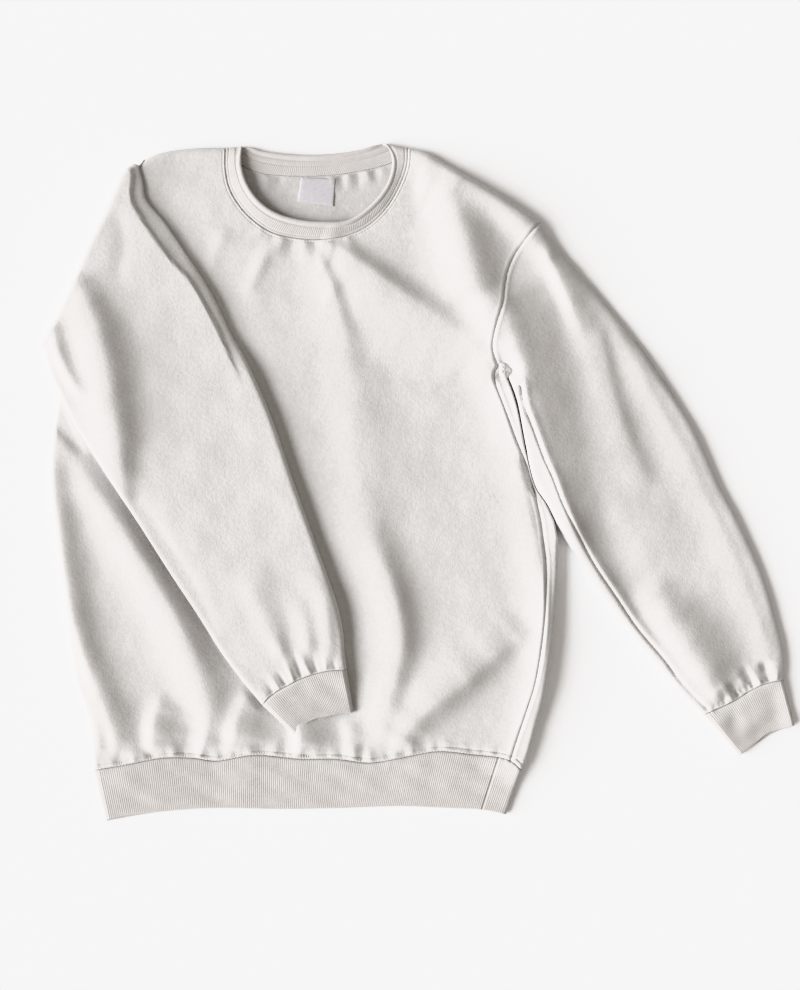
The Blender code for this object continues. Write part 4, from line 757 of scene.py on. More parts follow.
def fill(ring, turned, step, lines=(), coarse=None):
    """Triangles over a closed plan ring.  Its own points come first, in order.  Rows of points
    follow the ring, closer ones at a turned edge, and each of the lines.  coarse says which spots
    lie in a region with fewer points."""
    closed = np.vstack([ring, ring[:1]])
    direction = unit(np.roll(ring, -1, axis=0) - np.roll(ring, 1, axis=0))
    inward = np.stack([-direction[:, 1], direction[:, 0]], axis=1)
    turned_mask = np.zeros(len(ring), bool)
    turned_mask[list(turned)] = True
    wanted = []
    for mask, rows in ((turned_mask, TURN_ROWS), (~turned_mask, SEAM_ROWS)):
        for gap in rows:
            row = ring[mask] + gap * inward[mask]
            keep = inside(row, ring) & (nearest(row, closed, 2 * gap)[0] > 0.9 * gap)
            wanted.append(row[keep])
    low, high = ring.min(0), ring.max(0)
    grid = hex_grid(low, high, step)
    if coarse is not None:
        wide = hex_grid(low, high, 3 * step)
        grid = np.vstack([grid[~coarse(grid)], wide[coarse(wide)]])
    keep = inside(grid, ring)
    keep[keep] = nearest(grid[keep], closed, 12.0)[0] > max(*TURN_ROWS, *SEAM_ROWS) + 0.4 * step
    grid = grid[keep]
    for line in lines:
        rows = np.vstack([beside(line, gap) for gap in LINE_ROWS])
        rows = rows[inside(rows, ring)]
        rows = rows[nearest(rows, closed, 12.0)[0] > max(TURN_ROWS)]
        grid = grid[nearest(grid, line, 12.0)[0] > max(LINE_ROWS) + 0.4 * step]
        wanted.append(rows)
    spots = np.vstack([ring, *wanted, grid])
    result = delaunay_2d_cdt([tuple(spot) for spot in spots], [], [list(range(len(ring)))],
                             1, 1e-5)
    source = [group[0] for group in result[3]]
    triangles = np.array([[source[corner] for corner in face] for face in result[2]])
    used, triangles = in_use(triangles)
    if used[: len(ring)].tolist() != list(range(len(ring))):
        raise RuntimeError("a ring point was merged")
    return spots[used], triangles


def hex_grid(low, high, step):
    rows = np.arange(low[1], high[1], step * 0.866)
    return np.array([(x + (k % 2) * step / 2, y) for k, y in enumerate(rows)
                     for x in np.arange(low[0], high[0], step)])


def deep_under_sleeve(spots):
    """Where the folded sleeve hides the panel well inside its outline."""
    hidden = inside(spots, FOLDED_OUTLINE)
    hidden[hidden] = nearest(spots[hidden], FOLDED_OUTLINE, 20.0)[0] > 12
    return hidden


def away_from_neck(spots):
    """Where the front hides the back's inner side."""
    x, y = spots.T
    return (x < NECK_REGION[0]) | (x > NECK_REGION[1]) | (y < NECK_REGION[2])


# --------------------------------------------------------------------------- panels

def in_steps(line, start, stop, count):
    return along(line, np.linspace(start, stop, count))


HEM_RUN = in_steps(HEM_LINE, 0, HEM_SPLIT, int(HEM_SPLIT / 2.0) + 1)
HEM_CORNER_RUN = in_steps(HEM_LINE, HEM_SPLIT, run_of(HEM_LINE)[-1], 8)
HEM_UNDER_RUN = np.vstack([HEM_RUN, HEM_CORNER_RUN[1:]])
SIDE_RUN = stepped(SIDE_SEAM, RING)
ARM_RUN = stepped(RIGHT_ARMHOLE[1:], RING)
CROTCH_RUN = stepped(RIGHT_ARMHOLE[:2], RING)
RIGHT_SHOULDER_RUN = stepped(RIGHT_SHOULDER, RING)
LEFT_SHOULDER_RUN = stepped(LEFT_SHOULDER, RING)
LEFT_ARM_RUN = stepped(LEFT_ARMHOLE, 4.0)
LEFT_SIDE_RUN = stepped(LEFT_SIDE, RING)
BODY_RIGHT_LENGTH = run_of(BODY_RIGHT)[-1]
RIGHT_SIDE_RUN = in_steps(BODY_RIGHT, 0, BODY_RIGHT_LENGTH, int(BODY_RIGHT_LENGTH / RING))


def layer(side, ring, turned, gap, step, split=(), **region):
    """The upper (side 1) or the lower (-1) of two layers of fleece over a plan ring: its outer
    points, its inner ones, which stay a gap from the middle between the layers, and triangles.
    It ends at the middle along its turned edges, and a little off it where they are split."""
    spots, triangles = fill(ring, turned, step, **region)
    full, turn, outward = under_full(spots)
    turn[turned] = 0
    height = full / 2 * (1 + side * turn)
    height[list(split)] += side * SPLIT_GAP
    lean = np.sqrt(np.clip(1 - turn**2, 0, 1))
    plan = spots - FLEECE * lean[:, None] * outward
    inner_z = side * np.maximum(side * height - FLEECE * turn, side * full / 2 + gap)
    inner_z[turned] = height[turned]
    return np.column_stack([spots, height]), np.column_stack([plan, inner_z]), triangles[:, ::side]


def both(first, second, of_first, of_second):
    """Two layers as one, where these points of the second are those of the first."""
    renumber = len(first[0]) + np.arange(len(second[0]))
    renumber[of_second] = of_first
    return (np.vstack([first[0], second[0]]), np.vstack([first[1], second[1]]),
            np.vstack([first[2], renumber[second[2]]]))


def cloth(name, points, inner, faces, material, node):
    """A piece of fleece from its outer and inner points, of which only some are used."""
    used, faces = in_use(faces)
    points, faces = shell(points[used], faces, inner[used])
    return make_piece(name, points, faces, material, [node])


def front_panel(material):
    ring, places = joined(
        HEM_RUN, SIDE_RUN - (SEAM_SHIFT, 0), ARM_RUN - (SEAM_SHIFT, 0), RIGHT_SHOULDER_RUN[::-1],
        stepped(FRONT_NECK, RING)[::-1], LEFT_SHOULDER_RUN[::-1], LEFT_ARM_RUN[::-1],
        LEFT_SIDE_RUN[::-1])
    turned = sorted({*places[3], *places[5], *places[7]})
    skin = layer(1, ring, turned, 2 * SPLIT_GAP, GRID, turned, coarse=deep_under_sleeve)
    return cloth("front_cloth", *skin, material, "front")


def back_panel(material, inner_shade_material):
    """The back: all of the lower layer, and the strip of the upper one right of the side seam."""
    ring, places = joined(
        HEM_UNDER_RUN, RIGHT_SIDE_RUN, CROTCH_RUN, ARM_RUN, RIGHT_SHOULDER_RUN[::-1],
        stepped(BACK_NECK, RING)[::-1], LEFT_SHOULDER_RUN[::-1], LEFT_ARM_RUN[::-1],
        LEFT_SIDE_RUN[::-1])
    right = places[1]
    split = sorted({*places[4], *places[6], *places[8]})
    turned = sorted({*split, *right})
    lower = layer(-1, ring, turned, 2 * SPLIT_GAP, BACK_GRID, split, coarse=away_from_neck)
    spots, inner = lower[0][:, :2], lower[1]
    in_neck = inside(spots, NECK_HOLE)          # where the inner side shows, it isn't flat
    in_neck[turned] = False
    lift = 0.8 + 0.6 * np.clip(swells(spots, BACK_SWELLS), -1.2, 1.6)
    lift += gathers(spots, BACK_NECK_LINE, BACK_NECK_GATHERS, -1)
    inner[in_neck, 2] += lift[in_neck]

    ring, places = joined(SIDE_RUN[::-1] + (SEAM_SHIFT, 0), HEM_CORNER_RUN, RIGHT_SIDE_RUN,
                          CROTCH_RUN)
    strip = layer(1, ring, sorted(places[2]), 2 * SPLIT_GAP, STRIP_GRID)
    piece = cloth("back_cloth", *both(lower, strip, right, places[2]), material, "back")
    piece.data.materials.append(inner_shade_material)
    # Upward faces inside the neck opening take the darker inner material: the brushed back, plus
    # painted shade where the neckband shades it
    centres = np.array([tuple(face.center) for face in piece.data.polygons])[:, :2] / MM
    facing_up = np.array([face.normal.z > 0 for face in piece.data.polygons])
    for number in np.flatnonzero(inside(centres, NECK_HOLE) & facing_up):
        piece.data.polygons[number].material_index = 1
    return piece


def straight_sleeve(material):
    cuff = in_steps(STRAIGHT_CUFF_LINE, 0, run_of(STRAIGHT_CUFF_LINE)[-1], 60)
    ring, places = joined(stepped(STRAIGHT_INNER, RING), cuff, stepped(STRAIGHT_OUTER, RING)[::-1],
                          ARM_RUN[::-1] + (SEAM_SHIFT, 0), CROTCH_RUN[::-1] + (SEAM_SHIFT, 0))
    turned = sorted({*places[0], *places[2]})
    upper = layer(1, ring, turned, SLEEVE_GAP, GRID, lines=[stepped(STRAIGHT_UNDERARM, 2.0)])
    lower = layer(-1, ring, turned, SLEEVE_GAP, UNDER_GRID)
    return cloth("straight_sleeve_cloth", *both(upper, lower, turned, turned), material,
                 "sleeve_straight")


def tube_ring(middle, half, runs, wall):
    """One section of the folded sleeve, a wall inside its skin: its outer layer first.  middle
    is the line between its layers, half is the way there from the outer one, and runs are those
    of its two turned sides."""
    width = run_of(middle)[-1]
    edge = np.array([0.0, *TURN_ROWS])
    dense = width - LIP_STRIP
    across = np.concatenate([edge[:-1], np.linspace(edge[-1], dense, 62),
                             np.linspace(dense + 1.2, width - edge[-1], 24),
                             width - edge[-2::-1]])
    across = wall + across * (width - 2 * wall) / width
    turn = np.minimum(dome(across - wall, runs[0] - wall),
                      dome(width - across - wall, runs[1] - wall))
    thick = np.linalg.norm(half, axis=1)
    half = half * (np.maximum(thick - wall, 0.2) / thick)[:, None]
    centre, half = along(middle, across), turn[:, None] * along(middle, across, half)
    return np.vstack([centre - half, (centre + half)[-2:0:-1]])


def folded_sleeve(material):
    """A flattened tube that leaves the armhole, turns up and over, and lies across the front."""
    share = np.linspace(0, 1, TUBE_COLUMNS)
    arm, turn_line, cuff = (along(line, share * run_of(line)[-1])
                            for line in (LEFT_ARM_RUN, FOLD_INNER, FOLDED_CUFF_LINE))
    arm = arm - (SEAM_SHIFT, 0)
    outward = smooth(FOLD_LINE)[0] - FOLD_INNER[0]
    sections = []
    for mix in np.linspace(0, 1, 8):
        plan = (1 - mix) * arm + mix * turn_line
        half = under_base(plan) / 2
        sections.append((np.column_stack([plan, half]), np.column_stack([0 * plan, half]),
                         UNDER_RUNS))
    lower = 2 * half
    below, top = over_layers(turn_line)
    for angle in np.radians(np.arange(12, 180, 12)):
        outer = np.column_stack([turn_line + np.sin(angle) * outward,
                                 top / 2 * (1 - np.cos(angle))])
        crease = np.column_stack([turn_line + CREASE * np.sin(angle) * outward,
                                  (lower + below) / 2 - (below - lower) / 2 * np.cos(angle)])
        runs = [np.interp(angle, (0, np.pi), pair) for pair in zip(UNDER_RUNS, OVER_RUNS)]
        sections.append(((outer + crease) / 2, (crease - outer) / 2, runs))

    length = run_of(OVER_OUTER)[-1]
    steps = np.concatenate([np.linspace(0, length - 7, int(length / GRID)),
                            length - np.array(TUBE_END)])
    across = share[:, None]
    plans = []
    for down in steps / length:
        ends = [along(line, [down * run_of(line)[-1]])[0] for line in (OVER_OUTER, OVER_INNER)]
        bend = (1 - down) * turn_line + down * cuff
        bend = bend - (1 - across) * bend[0] - across * bend[-1]
        plans.append((1 - across) * ends[0] + across * ends[1] + bend)
    below, top = np.reshape(over_layers(np.concatenate(plans)), (2, len(plans), TUBE_COLUMNS))
    for plan, floor, roof in zip(plans, below, top):
        sections.append((np.column_stack([plan, (floor + roof) / 2]),
                         np.column_stack([0 * plan, (floor - roof) / 2]), OVER_RUNS))
    rings = [tube_ring(*section, 0.0) for section in sections]
    rings += [tube_ring(*section, FLEECE) for section in sections[::-1]]
    points, faces = grid_skin(rings)
    return make_piece("folded_sleeve_cloth", points, faces[:, [0, 3, 2, 1]], material,
                      ["sleeve_folded"])


# --------------------------------------------------------------------------- ribbed bands

def grid_skin(loops):
    """Quads over a cycle of closed loops that all have the same number of points."""
    size = len(loops[0])
    row, column = np.meshgrid(np.arange(len(loops)), np.arange(size), indexing="ij")
    after_row, after = (row + 1) % len(loops), (column + 1) % size
    corners = np.stack([row * size + column, row * size + after,
                        after_row * size + after, after_row * size + column], axis=2)
    return np.vstack(loops), corners.reshape(-1, 4)


def rib_wave(across):
    """Height of ribs at distances across them."""
    return RIB_RISE * (0.5 - 0.5 * np.cos(2 * np.pi * across / RIB_PITCH)) ** RIB_FULL


def ribbed_tube(name, seam_line, edge, low, high, material, node, wave_seed, gape, own_seam=None):
    """A flattened tube of rib from a seam to an open edge, ribbed all round, between the heights
    low and high.  Its upper layer ends short of the lower one at a gape: (how much, half width,
    place across).  own_seam is the place across of the seam that closes the band, where it shows
    on top."""
    edge_line = smooth(edge)
    width = run_of(seam_line)[-1]
    count = int((width - 2 * BAND_END) * RIB_COLUMNS / RIB_PITCH)
    marks = np.linspace(BAND_END, width - BAND_END, count)
    marks = np.concatenate([BAND_ENDS, marks, width - np.array(BAND_ENDS[::-1])])
    length = np.linalg.norm(edge_line[len(edge_line) // 2] - seam_line[len(seam_line) // 2])
    shorter = ridge(marks, *gape) / length
    at_own_seam = 0.0
    if own_seam is not None:
        at_own_seam = ridge(marks, OWN_SEAM_DEPTH, OWN_SEAM_WIDTH, own_seam)
    ribs = rib_wave(marks) * ease((np.minimum(marks, width - marks) - 0.5) / (0.6 * EDGE_RUN))

    def section(share, wall):
        across = wall + marks * (width - 2 * wall) / width
        at_seam = along(seam_line, across)
        way_down = along(edge_line, across * run_of(edge_line)[-1] / width) - at_seam
        plan = at_seam + share * way_down
        bottom, top = low(share, plan), high(share, plan)
        inset = np.minimum(across, width - across) - wall
        turn = dome(np.maximum(inset, 0), EDGE_RUN - wall)
        middle, half = (bottom + top) / 2, np.maximum((top - bottom) / 2 - wall, 0.15)
        bow = BAND_BOW * swell(plan, BAND_BOW_LENGTH, wave_seed) * turn
        bow = bow * ease(share * 5) * ease((1 - share) * 5)
        relief = groove = 0.0
        if wall == 0:
            relief = ribs * ease(share * length / BAND_RIB_START)
            groove = ridge(share * length, *BAND_GROOVE) * turn + at_own_seam
        upper = np.column_stack([plan - (share * share * shorter)[:, None] * way_down,
                                 middle + half * turn + bow + relief - groove])
        under = np.column_stack([plan, middle - half * turn + UNDER_RIBS * relief])
        return np.vstack([upper[::-1], under[1:-1]])

    shares = np.concatenate([BAND_SEAM_ROWS, np.linspace(3.4, length - 2.2, BAND_ROWS),
                             length - np.array(BAND_EDGE_ROWS)]) / length
    loops = [section(share, 0.0) for share in shares]
    for angle in np.radians((-60, -25, 10, 45, 75)):        # round the open edge
        depth = RIB_CLOTH / 2 * (1 + math.sin(angle))
        edge_share = 1 - BAND_EDGE_ROWS[-1] / length
        loops.append(section(edge_share + math.cos(angle) * RIB_CLOTH / 2 / length, depth))
    loops += [section(share, RIB_CLOTH) for share in (1 - 1.2 / length, 0.5, 3.0 / length)]
    points, faces = grid_skin(loops)
    return make_piece(name, points, faces, material, [node])


def on_floor(share, plan):
    return 0 * plan[:, 0]


def hem_top(share, plan):
    return (1 - share) * under_full(plan)[0] + share * HEM_RISE


def straight_cuff_top(share, plan):
    across = np.clip((plan[:, 0] - STRAIGHT_CUFF_SEAM[0][0]) / 95, 0, 1)
    tilt = CUFF_TILT * np.cos(np.pi * across) + ridge(across, *CUFF_CORNER)
    tilt = tilt * ease(3 * share)
    depth, size, centre = CUFF_HOLLOW
    hollow = ridge(np.linalg.norm((plan - centre) / size, axis=1), depth, 1)
    return (1 - share) * under_full(plan)[0] + share * CUFF_RISE + tilt + hollow


def folded_cuff_low(share, plan):
    return over_layers(plan)[0]


def folded_cuff_top(share, plan):
    below, above = over_layers(plan)
    return (1 - share) * above + share * (below + CUFF_RISE)


def neckband_side(line, free, sign):
    """The front (sign 1) or the back (-1) of the neckband.  At places along it: the seam, the free
    edge, the way out of the cloth and the way across it, how far its edge is rolled, its ribs, and
    the sign."""
    length = run_of(line)[-1]
    share = np.linspace(0, 1, int(length * RIB_COLUMNS / RIB_PITCH), endpoint=False)
    seam_plan = along(line, share * length)
    free_plan = along(free, share * run_of(free)[-1])
    across = unit(free_plan - seam_plan)
    end_gap = np.minimum(share, 1 - share) * length
    turn = dome(end_gap, EDGE_RUN)
    roll = ease(end_gap / NECK_ROLL_FADE)
    full, seam_turn, _ = under_full(seam_plan + 0.2 * across)       # just inside the seam
    seam_turn = np.minimum(seam_turn, turn) if sign > 0 else turn
    free_full = full + (NECK_FREE_FRONT - full) * np.sin(np.pi * share) ** 0.5
    if sign > 0:
        free_full += (NECK_LEFT_RISE * ease(share / NECK_LEFT_START)
                      * (1 - ease((share - NECK_LEFT_STOP) / NECK_LEFT_FADE)))
    seam_up = np.maximum(full / 2 * (1 + sign * seam_turn), FLOOR_HEIGHT)
    free_up = free_full / 2 * (1 + sign * turn)
    if sign < 0:
        low, more = NECK_BACK_RISE
        free_up = free_up + low + more * roll
    seam_points = np.column_stack([seam_plan + 0.25 * across, seam_up])
    free_points = np.column_stack([free_plan, free_up])
    tilt = np.arcsin(np.clip(turn, 0, 1)) * sign
    out = np.column_stack([0 * share, np.cos(tilt), np.sin(tilt)])
    way = unit(free_points - seam_points)
    out = unit(out - (out * way).sum(1)[:, None] * way)
    wave = rib_wave(share * length) * ease(end_gap / 5.0)
    return seam_points, free_points, out, way, roll, wave, np.full(len(share), sign)


def neckband(material, thread):
    """A ring of rib: on the front it lies on top, turns over at each shoulder, and lies on the
    floor behind.  Its free edge is rolled."""
    front = neckband_side(NECK_LINE, smooth(NECK_FREE), 1.0)
    back = neckband_side(BACK_NECK_LINE[::-1], smooth(BACK_FREE)[::-1], -1.0)
    seam_points, free_points, out, way, roll, wave, sign = map(np.concatenate, zip(front, back))
    on_front = sign > 0
    width = np.linalg.norm(free_points - seam_points, axis=1)
    rib_end = 1 - (2 * NECK_ROLL + 0.5) / width     # share of the width where the roll starts

    def flat(share, depth, ribbed=1.0):
        """Points on a flat side of the band, at a share of the way from the seam to the roll."""
        at = share * rib_end
        gap = at * width
        relief = wave * ease(gap - np.where(on_front, *NECK_RIB_START)) * ribbed
        relief = relief * ease((1 - share) * 12)        # the ribs end before the roll
        relief += np.where(on_front, ridge(gap, *NECK_SEAM_ROLL) + ridge(gap, *NECK_SEAM_ROW),
                           ridge((share - BACK_ROW) * NECK_BACK_FLAT, *BACK_ROW_DIP))
        relief += ridge((1 - share) * NECK_FLAT, *ROLL_ROW_DIP)
        lift = (relief if depth == 0 else -relief) - depth
        return seam_points + at[:, None] * (free_points - seam_points) + lift[:, None] * out

    loops = [flat(share, 0.0) for share in NECK_ROWS]
    radius, radius_up = (RIB_CLOTH / 2 + (size - RIB_CLOTH / 2) * roll[:, None]
                         for size in (NECK_ROLL, NECK_ROLL_UP))
    centre = (seam_points + (1 - radius / width[:, None]) * (free_points - seam_points)
              - RIB_CLOTH / 2 * out)
    for angle in np.radians(np.arange(140, -141, -20)):
        loops.append(centre + radius * math.cos(angle) * way + radius_up * math.sin(angle) * out)
    loops += [flat(share, RIB_CLOTH) for share in NECK_ROWS[::-1]]
    row = (flat(BACK_ROW, 0.0, 0.0) + 0.1 * out)[len(front[0]) + 14:-14]
    points, faces = grid_skin(loops)
    points[:, 2] = np.maximum(points[:, 2], FLOOR_HEIGHT)
    band = make_piece("neckband_rib", points, faces[:, ::-1], material, ["neckband"])
    return band, stitches("neckband_stitches", [row], thread)


def neck_label(material):
    """A plain woven tab, sewn on flat inside the back, with nothing on it."""
    corners = np.array(LABEL_CORNERS, float)
    count = 26
    u, v = np.meshgrid(np.linspace(0, 1, count), np.linspace(0, 1, count))
    weights = np.stack([(1 - u) * (1 - v), u * (1 - v), u * v, (1 - u) * v], axis=2)
    to_side = [np.minimum(share, 1 - share) * size for share, size in zip((u, v), LABEL_SIZE)]
    depth, half_width = LABEL_HEM
    top = (LABEL_TOP + 0.35 * np.sin(3.0 * u + 2.0 * v)
           - ridge(np.minimum(*to_side), depth, half_width))
    upper = np.dstack([weights @ corners, top]).reshape(-1, 3)
    number = np.arange(count * count).reshape(count, count)
    quads = np.stack([number[:-1, :-1], number[:-1, 1:], number[1:, 1:], number[1:, :-1]],
                     axis=2).reshape(-1, 4)
    total = count * count
    rim = np.concatenate([number[0, :], number[1:, -1], number[-1, -2::-1], number[-2:0:-1, 0]])
    after = np.roll(rim, -1)
    rims = np.stack([after, rim, rim + total, after + total], axis=1)
    faces = np.vstack([quads, quads[:, ::-1] + total, rims])
    points = np.vstack([upper, upper - (0, 0, LABEL_THICK)])
    return make_piece("label_tab", points, faces, material, ["label"])


def underarm_knot(material):
    """The crumpled knot of cloth where the seams meet under the arm."""
    rings, columns = 9, 40
    base = under_full(np.array([KNOT_BESIDE], float))[0][0] - KNOT_RISE - KNOT_SINK
    angle = np.linspace(0, 2 * np.pi, columns, endpoint=False)
    crumple = 1 + 0.10 * np.sin(3 * angle + 0.7) + 0.06 * np.sin(5 * angle + 2.1)
    outline = crumple[:, None] * KNOT_SIZE * np.column_stack([np.cos(angle), np.sin(angle)])
    loops = []
    for share in np.linspace(1, 0.08, rings):
        plan = KNOT_CENTRE + share * outline
        rise = KNOT_RISE * (1 - share ** 5) ** 0.5
        crease = (0.9 * np.sin(3 * angle + 2.4 * share + 0.5)
                  + 0.6 * np.sin(7 * angle + 1.3)) * share
        lean = KNOT_LEAN * (plan[:, 0] - KNOT_CENTRE[0])
        loops.append(np.column_stack([plan, base + rise + (crease - lean) * (1 - share ** 4)]))
    ends = [(*KNOT_CENTRE, base + KNOT_RISE - 0.8), (*KNOT_CENTRE, base - 0.6)]
    top, bottom = rings * columns, rings * columns + 1
    faces = []
    for column in range(columns):
        after = (column + 1) % columns
        for row in range(rings - 1):
            a, b = row * columns + column, row * columns + after
            faces += [(a, b, b + columns), (a, b + columns, a + columns)]
        last = (rings - 1) * columns
        faces += [(last + column, last + after, top), (after, column, bottom)]
    return make_piece("underarm_knot", np.vstack([*loops, ends]), faces, material)


# --------------------------------------------------------------------------- thread

def stitches(name, rows, material, pitch=3.3, length=2.5, radius=0.42):
    """Short threads laid along rows of points, half sunk in the cloth: each is two squares across
    it and a point at each end."""
    points, faces = [], []
    for row in rows:
        starts = np.arange(0.5, run_of(row)[-1] - length, pitch)
        head, tail = along(row, starts), along(row, starts + length)
        way = unit(tail - head)
        side = unit(np.cross(way, (0, 0, 1.0)))
        up = np.cross(side, way)
        corners = [radius * side, radius * up, -radius * side, -radius * up]
        squares = [(head + tail) / 2 + shift * length * way + corner
                   for shift in (-0.28, 0.28) for corner in corners]
        points.append(np.stack([head - 0.25 * up, *squares, tail - 0.25 * up], axis=1))
    points = np.vstack(points)
    for base in range(0, points.size // 3, 10):
        for a in range(4):
            b = (a + 1) % 4
            near_a, near_b, far_a, far_b = base + 1 + a, base + 1 + b, base + 5 + a, base + 5 + b
            faces += [(near_b, near_a, base), (far_b, far_a, near_a), (near_b, far_b, near_a),
                      (far_a, far_b, base + 9)]
    return make_piece(name, points.reshape(-1, 3), faces, material)


def cross_rows(line, near, far, pitch):
    """Short rows across a seam, from near to far beside it, on the body's upper side."""
    places = np.arange(0, run_of(line)[-1], pitch)
    sides = [along(beside(line, gap), places) for gap in (near, far)]
    return [on_top(np.array(pair), 0.3) for pair in zip(*sides)]


def on_top(plan, lift=0.05):
    full, turn, _ = under_full(plan)
    return np.column_stack([plan, full / 2 * (1 + turn) + lift])


def on_sleeve(plan, lift=0.05):
    turn = edges_at(plan, OVER_EDGES)[1]
    below, top = over_layers(plan)
    return np.column_stack([plan, (below + top) / 2 + (top - below) / 2 * turn + lift])


def trimmed(line, start, stop):
    run = run_of(line)
    return along(line, np.arange(start, run[-1] - stop, 1.5))


# --------------------------------------------------------------------------- materials

class Surface:
    """A material with its node tree.  Colours, heights and bumps come from solid noise."""

    def __init__(self, name, roughness, sheen=0.0):
        self.material = bpy.data.materials.new(name)
        self.material.use_nodes = True
        self.nodes, self.links = self.material.node_tree.nodes, self.material.node_tree.links
        self.shader = self.nodes["Principled BSDF"]
        for socket, value in (("Roughness", roughness), ("Specular IOR Level", 0.25),
                              ("Sheen Weight", sheen), ("Sheen Roughness", 0.6)):
            self.shader.inputs[socket].default_value = value
        self.spot = self.nodes.new("ShaderNodeTexCoord").outputs["Object"]

    def node(self, kind, values, sources):
        """A new node with constants in some sockets and links into others."""
        node = self.nodes.new(kind)
        for socket, value in values.items():
            node.inputs[socket].default_value = value
        for socket, source in sources.items():
            self.links.new(source, node.inputs[socket])
        return node

    def noise(self, scale, detail=2.0, rough=0.5):
        return self.node("ShaderNodeTexNoise",
                         {"Scale": scale, "Detail": detail, "Roughness": rough},
                         {"Vector": self.spot}).outputs["Fac"]

    def added(self, first, second, share):
        total = self.node("ShaderNodeMath", {1: share}, {0: second, 2: first})
        total.operation = "MULTIPLY_ADD"
        return total.outputs["Value"]

    def colour(self, value, low, high, dark, light):
        """The base colour goes from dark to light as the value goes from low to high."""
        ramp = self.node("ShaderNodeMapRange", {"From Min": low, "From Max": high},
                         {"Value": value})
        mix = self.nodes.new("ShaderNodeMix")
        mix.data_type = "RGBA"
        mix.inputs["A"].default_value = (*dark, 1.0)
        mix.inputs["B"].default_value = (*light, 1.0)
        self.links.new(ramp.outputs["Result"], mix.inputs["Factor"])
        self.links.new(mix.outputs["Result"], self.shader.inputs["Base Color"])

    def bump(self, height, distance, strength):
        bump = self.node("ShaderNodeBump", {"Distance": distance, "Strength": strength},
                         {"Height": height})
        self.links.new(bump.outputs["Normal"], self.shader.inputs["Normal"])


def fleece_material(name="fleece_face", shade=1.0):
    """The face of the fleece, or its brushed back, a shade darker, which also paints the shade
    inside the neck opening.
    """
    surface = Surface(name, 0.95, 0.2)
    fuzz, mottle = surface.noise(520, 3.0, 0.6), surface.noise(240, 3.0, 0.6)
    dark, light = ([shade * part for part in colour] for colour in FLEECE_COLOURS)
    surface.colour(surface.added(mottle, surface.noise(22), 0.25), 0.42, 0.83, dark, light)
    surface.bump(surface.added(fuzz, mottle, 1.2), 0.0007, 0.4)
    return surface.material


def rib_material():
    surface = Surface("rib_knit", 0.95, 0.15)
    knit, mottle = surface.noise(700), surface.noise(160, 3.0, 0.55)
    surface.colour(surface.added(mottle, surface.noise(18), 0.8), 0.6, 1.2, *RIB_COLOURS)
    surface.bump(surface.added(knit, mottle, 0.7), 0.0005, 0.5)
    return surface.material


def label_material():
    surface = Surface("woven_label", 0.6, 0.1)
    wave = surface.node("ShaderNodeTexWave", {"Scale": 500, "Distortion": 0.6},
                        {"Vector": surface.spot})
    surface.colour(surface.noise(300), 0.3, 0.7, *LABEL_COLOURS)
    surface.bump(wave.outputs["Fac"], 0.0002, 0.4)
    return surface.material


def thread_material():
    surface = Surface("thread", 0.6, 0.1)
    surface.colour(surface.noise(900), 0.3, 0.7, *THREAD_COLOURS)
    return surface.material


# --------------------------------------------------------------------------- the stage

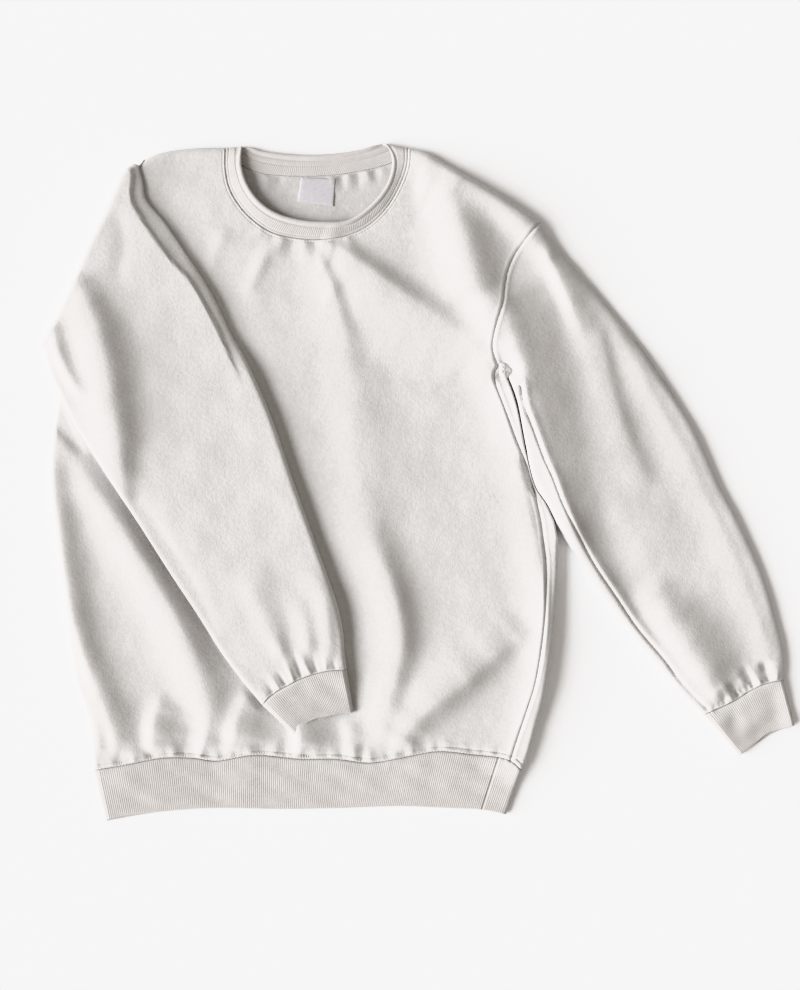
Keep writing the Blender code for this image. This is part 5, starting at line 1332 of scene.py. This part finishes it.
def stage():
    half, level = FLOOR_HALF, FLOOR_LEVEL
    mesh = bpy.data.meshes.new("floor")
    mesh.from_pydata([(-half, -half, level), (half, -half, level), (half, half, level),
                      (-half, half, level)], [], [(0, 1, 2, 3)])
    paper = Surface("floor_paper", 0.9)
    paper.colour(paper.noise(60), 0.3, 0.7, *FLOOR_COLOURS)
    mesh.materials.append(paper.material)
    add_to_scene("floor", mesh)

    camera_data = bpy.data.cameras.new("camera")
    camera_data.sensor_width = 36.0
    camera_data.lens = 36.0 * CAMERA_HEIGHT / VIEW_LONG_SIDE
    camera_data.clip_end = 20.0
    camera = add_to_scene("camera", camera_data)
    camera.location = (*VIEW_CENTRE, CAMERA_HEIGHT)
    bpy.context.scene.camera = camera

    sun_data = bpy.data.lights.new("window_light", "SUN")
    sun_data.energy = SUN_POWER
    sun_data.angle = math.radians(SUN_SOFTNESS)
    sun_data.color = SUN_COLOUR
    add_to_scene("window_light", sun_data).rotation_euler = (
        math.radians(90 - SUN_ELEVATION), 0, math.radians(SUN_AZIMUTH + 90))

    world = bpy.data.worlds.new("world")
    world.use_nodes = True
    background = world.node_tree.nodes["Background"]
    background.inputs["Color"].default_value = (*SKY_COLOUR, 1.0)
    background.inputs["Strength"].default_value = SKY_POWER
    bpy.context.scene.world = world
    bpy.context.scene.view_settings.view_transform = "Khronos PBR Neutral"


def main():
    fleece, rib, thread = fleece_material(), rib_material(), thread_material()
    front = front_panel(fleece)
    # The back's inner side is darker: brushed fleece, plus painted shade inside the neck opening
    back = back_panel(fleece, fleece_material("fleece_back_brushed_and_shade", BRUSHED_AND_SHADE_DARKENING))
    straight = straight_sleeve(fleece)
    folded = folded_sleeve(fleece)
    knot = underarm_knot(fleece)
    neck, neck_thread = neckband(rib, thread)
    own_seam = nearest(np.array([HEM_OWN_SEAM], float), HEM_LINE)[2][0]
    hem = ribbed_tube("hem_band_rib", HEM_LINE - (0, 2 * SEAM_SHIFT), HEM_EDGE, on_floor, hem_top,
                      rib, "hem_band", 21, (2.6, 32.0, 26.0), own_seam)
    cuff = ribbed_tube("straight_cuff_rib", STRAIGHT_CUFF_LINE + (0.1, -0.15), STRAIGHT_CUFF_EDGE,
                       on_floor, straight_cuff_top, rib, "cuff_straight", 22, (2.6, 24.0, 46.0))
    over_cuff = ribbed_tube("folded_cuff_rib", FOLDED_CUFF_LINE + (0.07, -0.15), FOLDED_CUFF_EDGE,
                            folded_cuff_low, folded_cuff_top, rib, "cuff_folded", 23,
                            (3.2, 26.0, 36.0))
    label = neck_label(label_material())

    hem_rows = [on_top(trimmed(beside(HEM_LINE, gap), 6, 16)) for gap in (0.8, HEM_STITCH_ROW)]
    neck_row = on_top(trimmed(beside(NECK_LINE[::-1], STITCH_ROW), 8, 8))
    front_thread = stitches("front_stitches", [*hem_rows, neck_row], thread)
    crossing = cross_rows(trimmed(HEM_LINE, 6, 16), 0.6, 5.2, 2.6)
    cross_thread = stitches("hem_cross_stitches", crossing, thread, 9.0, 3.6)
    cuff_row = on_top(trimmed(beside(STRAIGHT_CUFF_LINE, STITCH_ROW), 6, 6))
    cuff_thread = stitches("straight_cuff_stitches", [cuff_row], thread)
    over_row = on_sleeve(trimmed(beside(FOLDED_CUFF_LINE, STITCH_ROW), 6, 6))
    over_thread = stitches("folded_cuff_stitches", [over_row], thread)

    stage()


main()
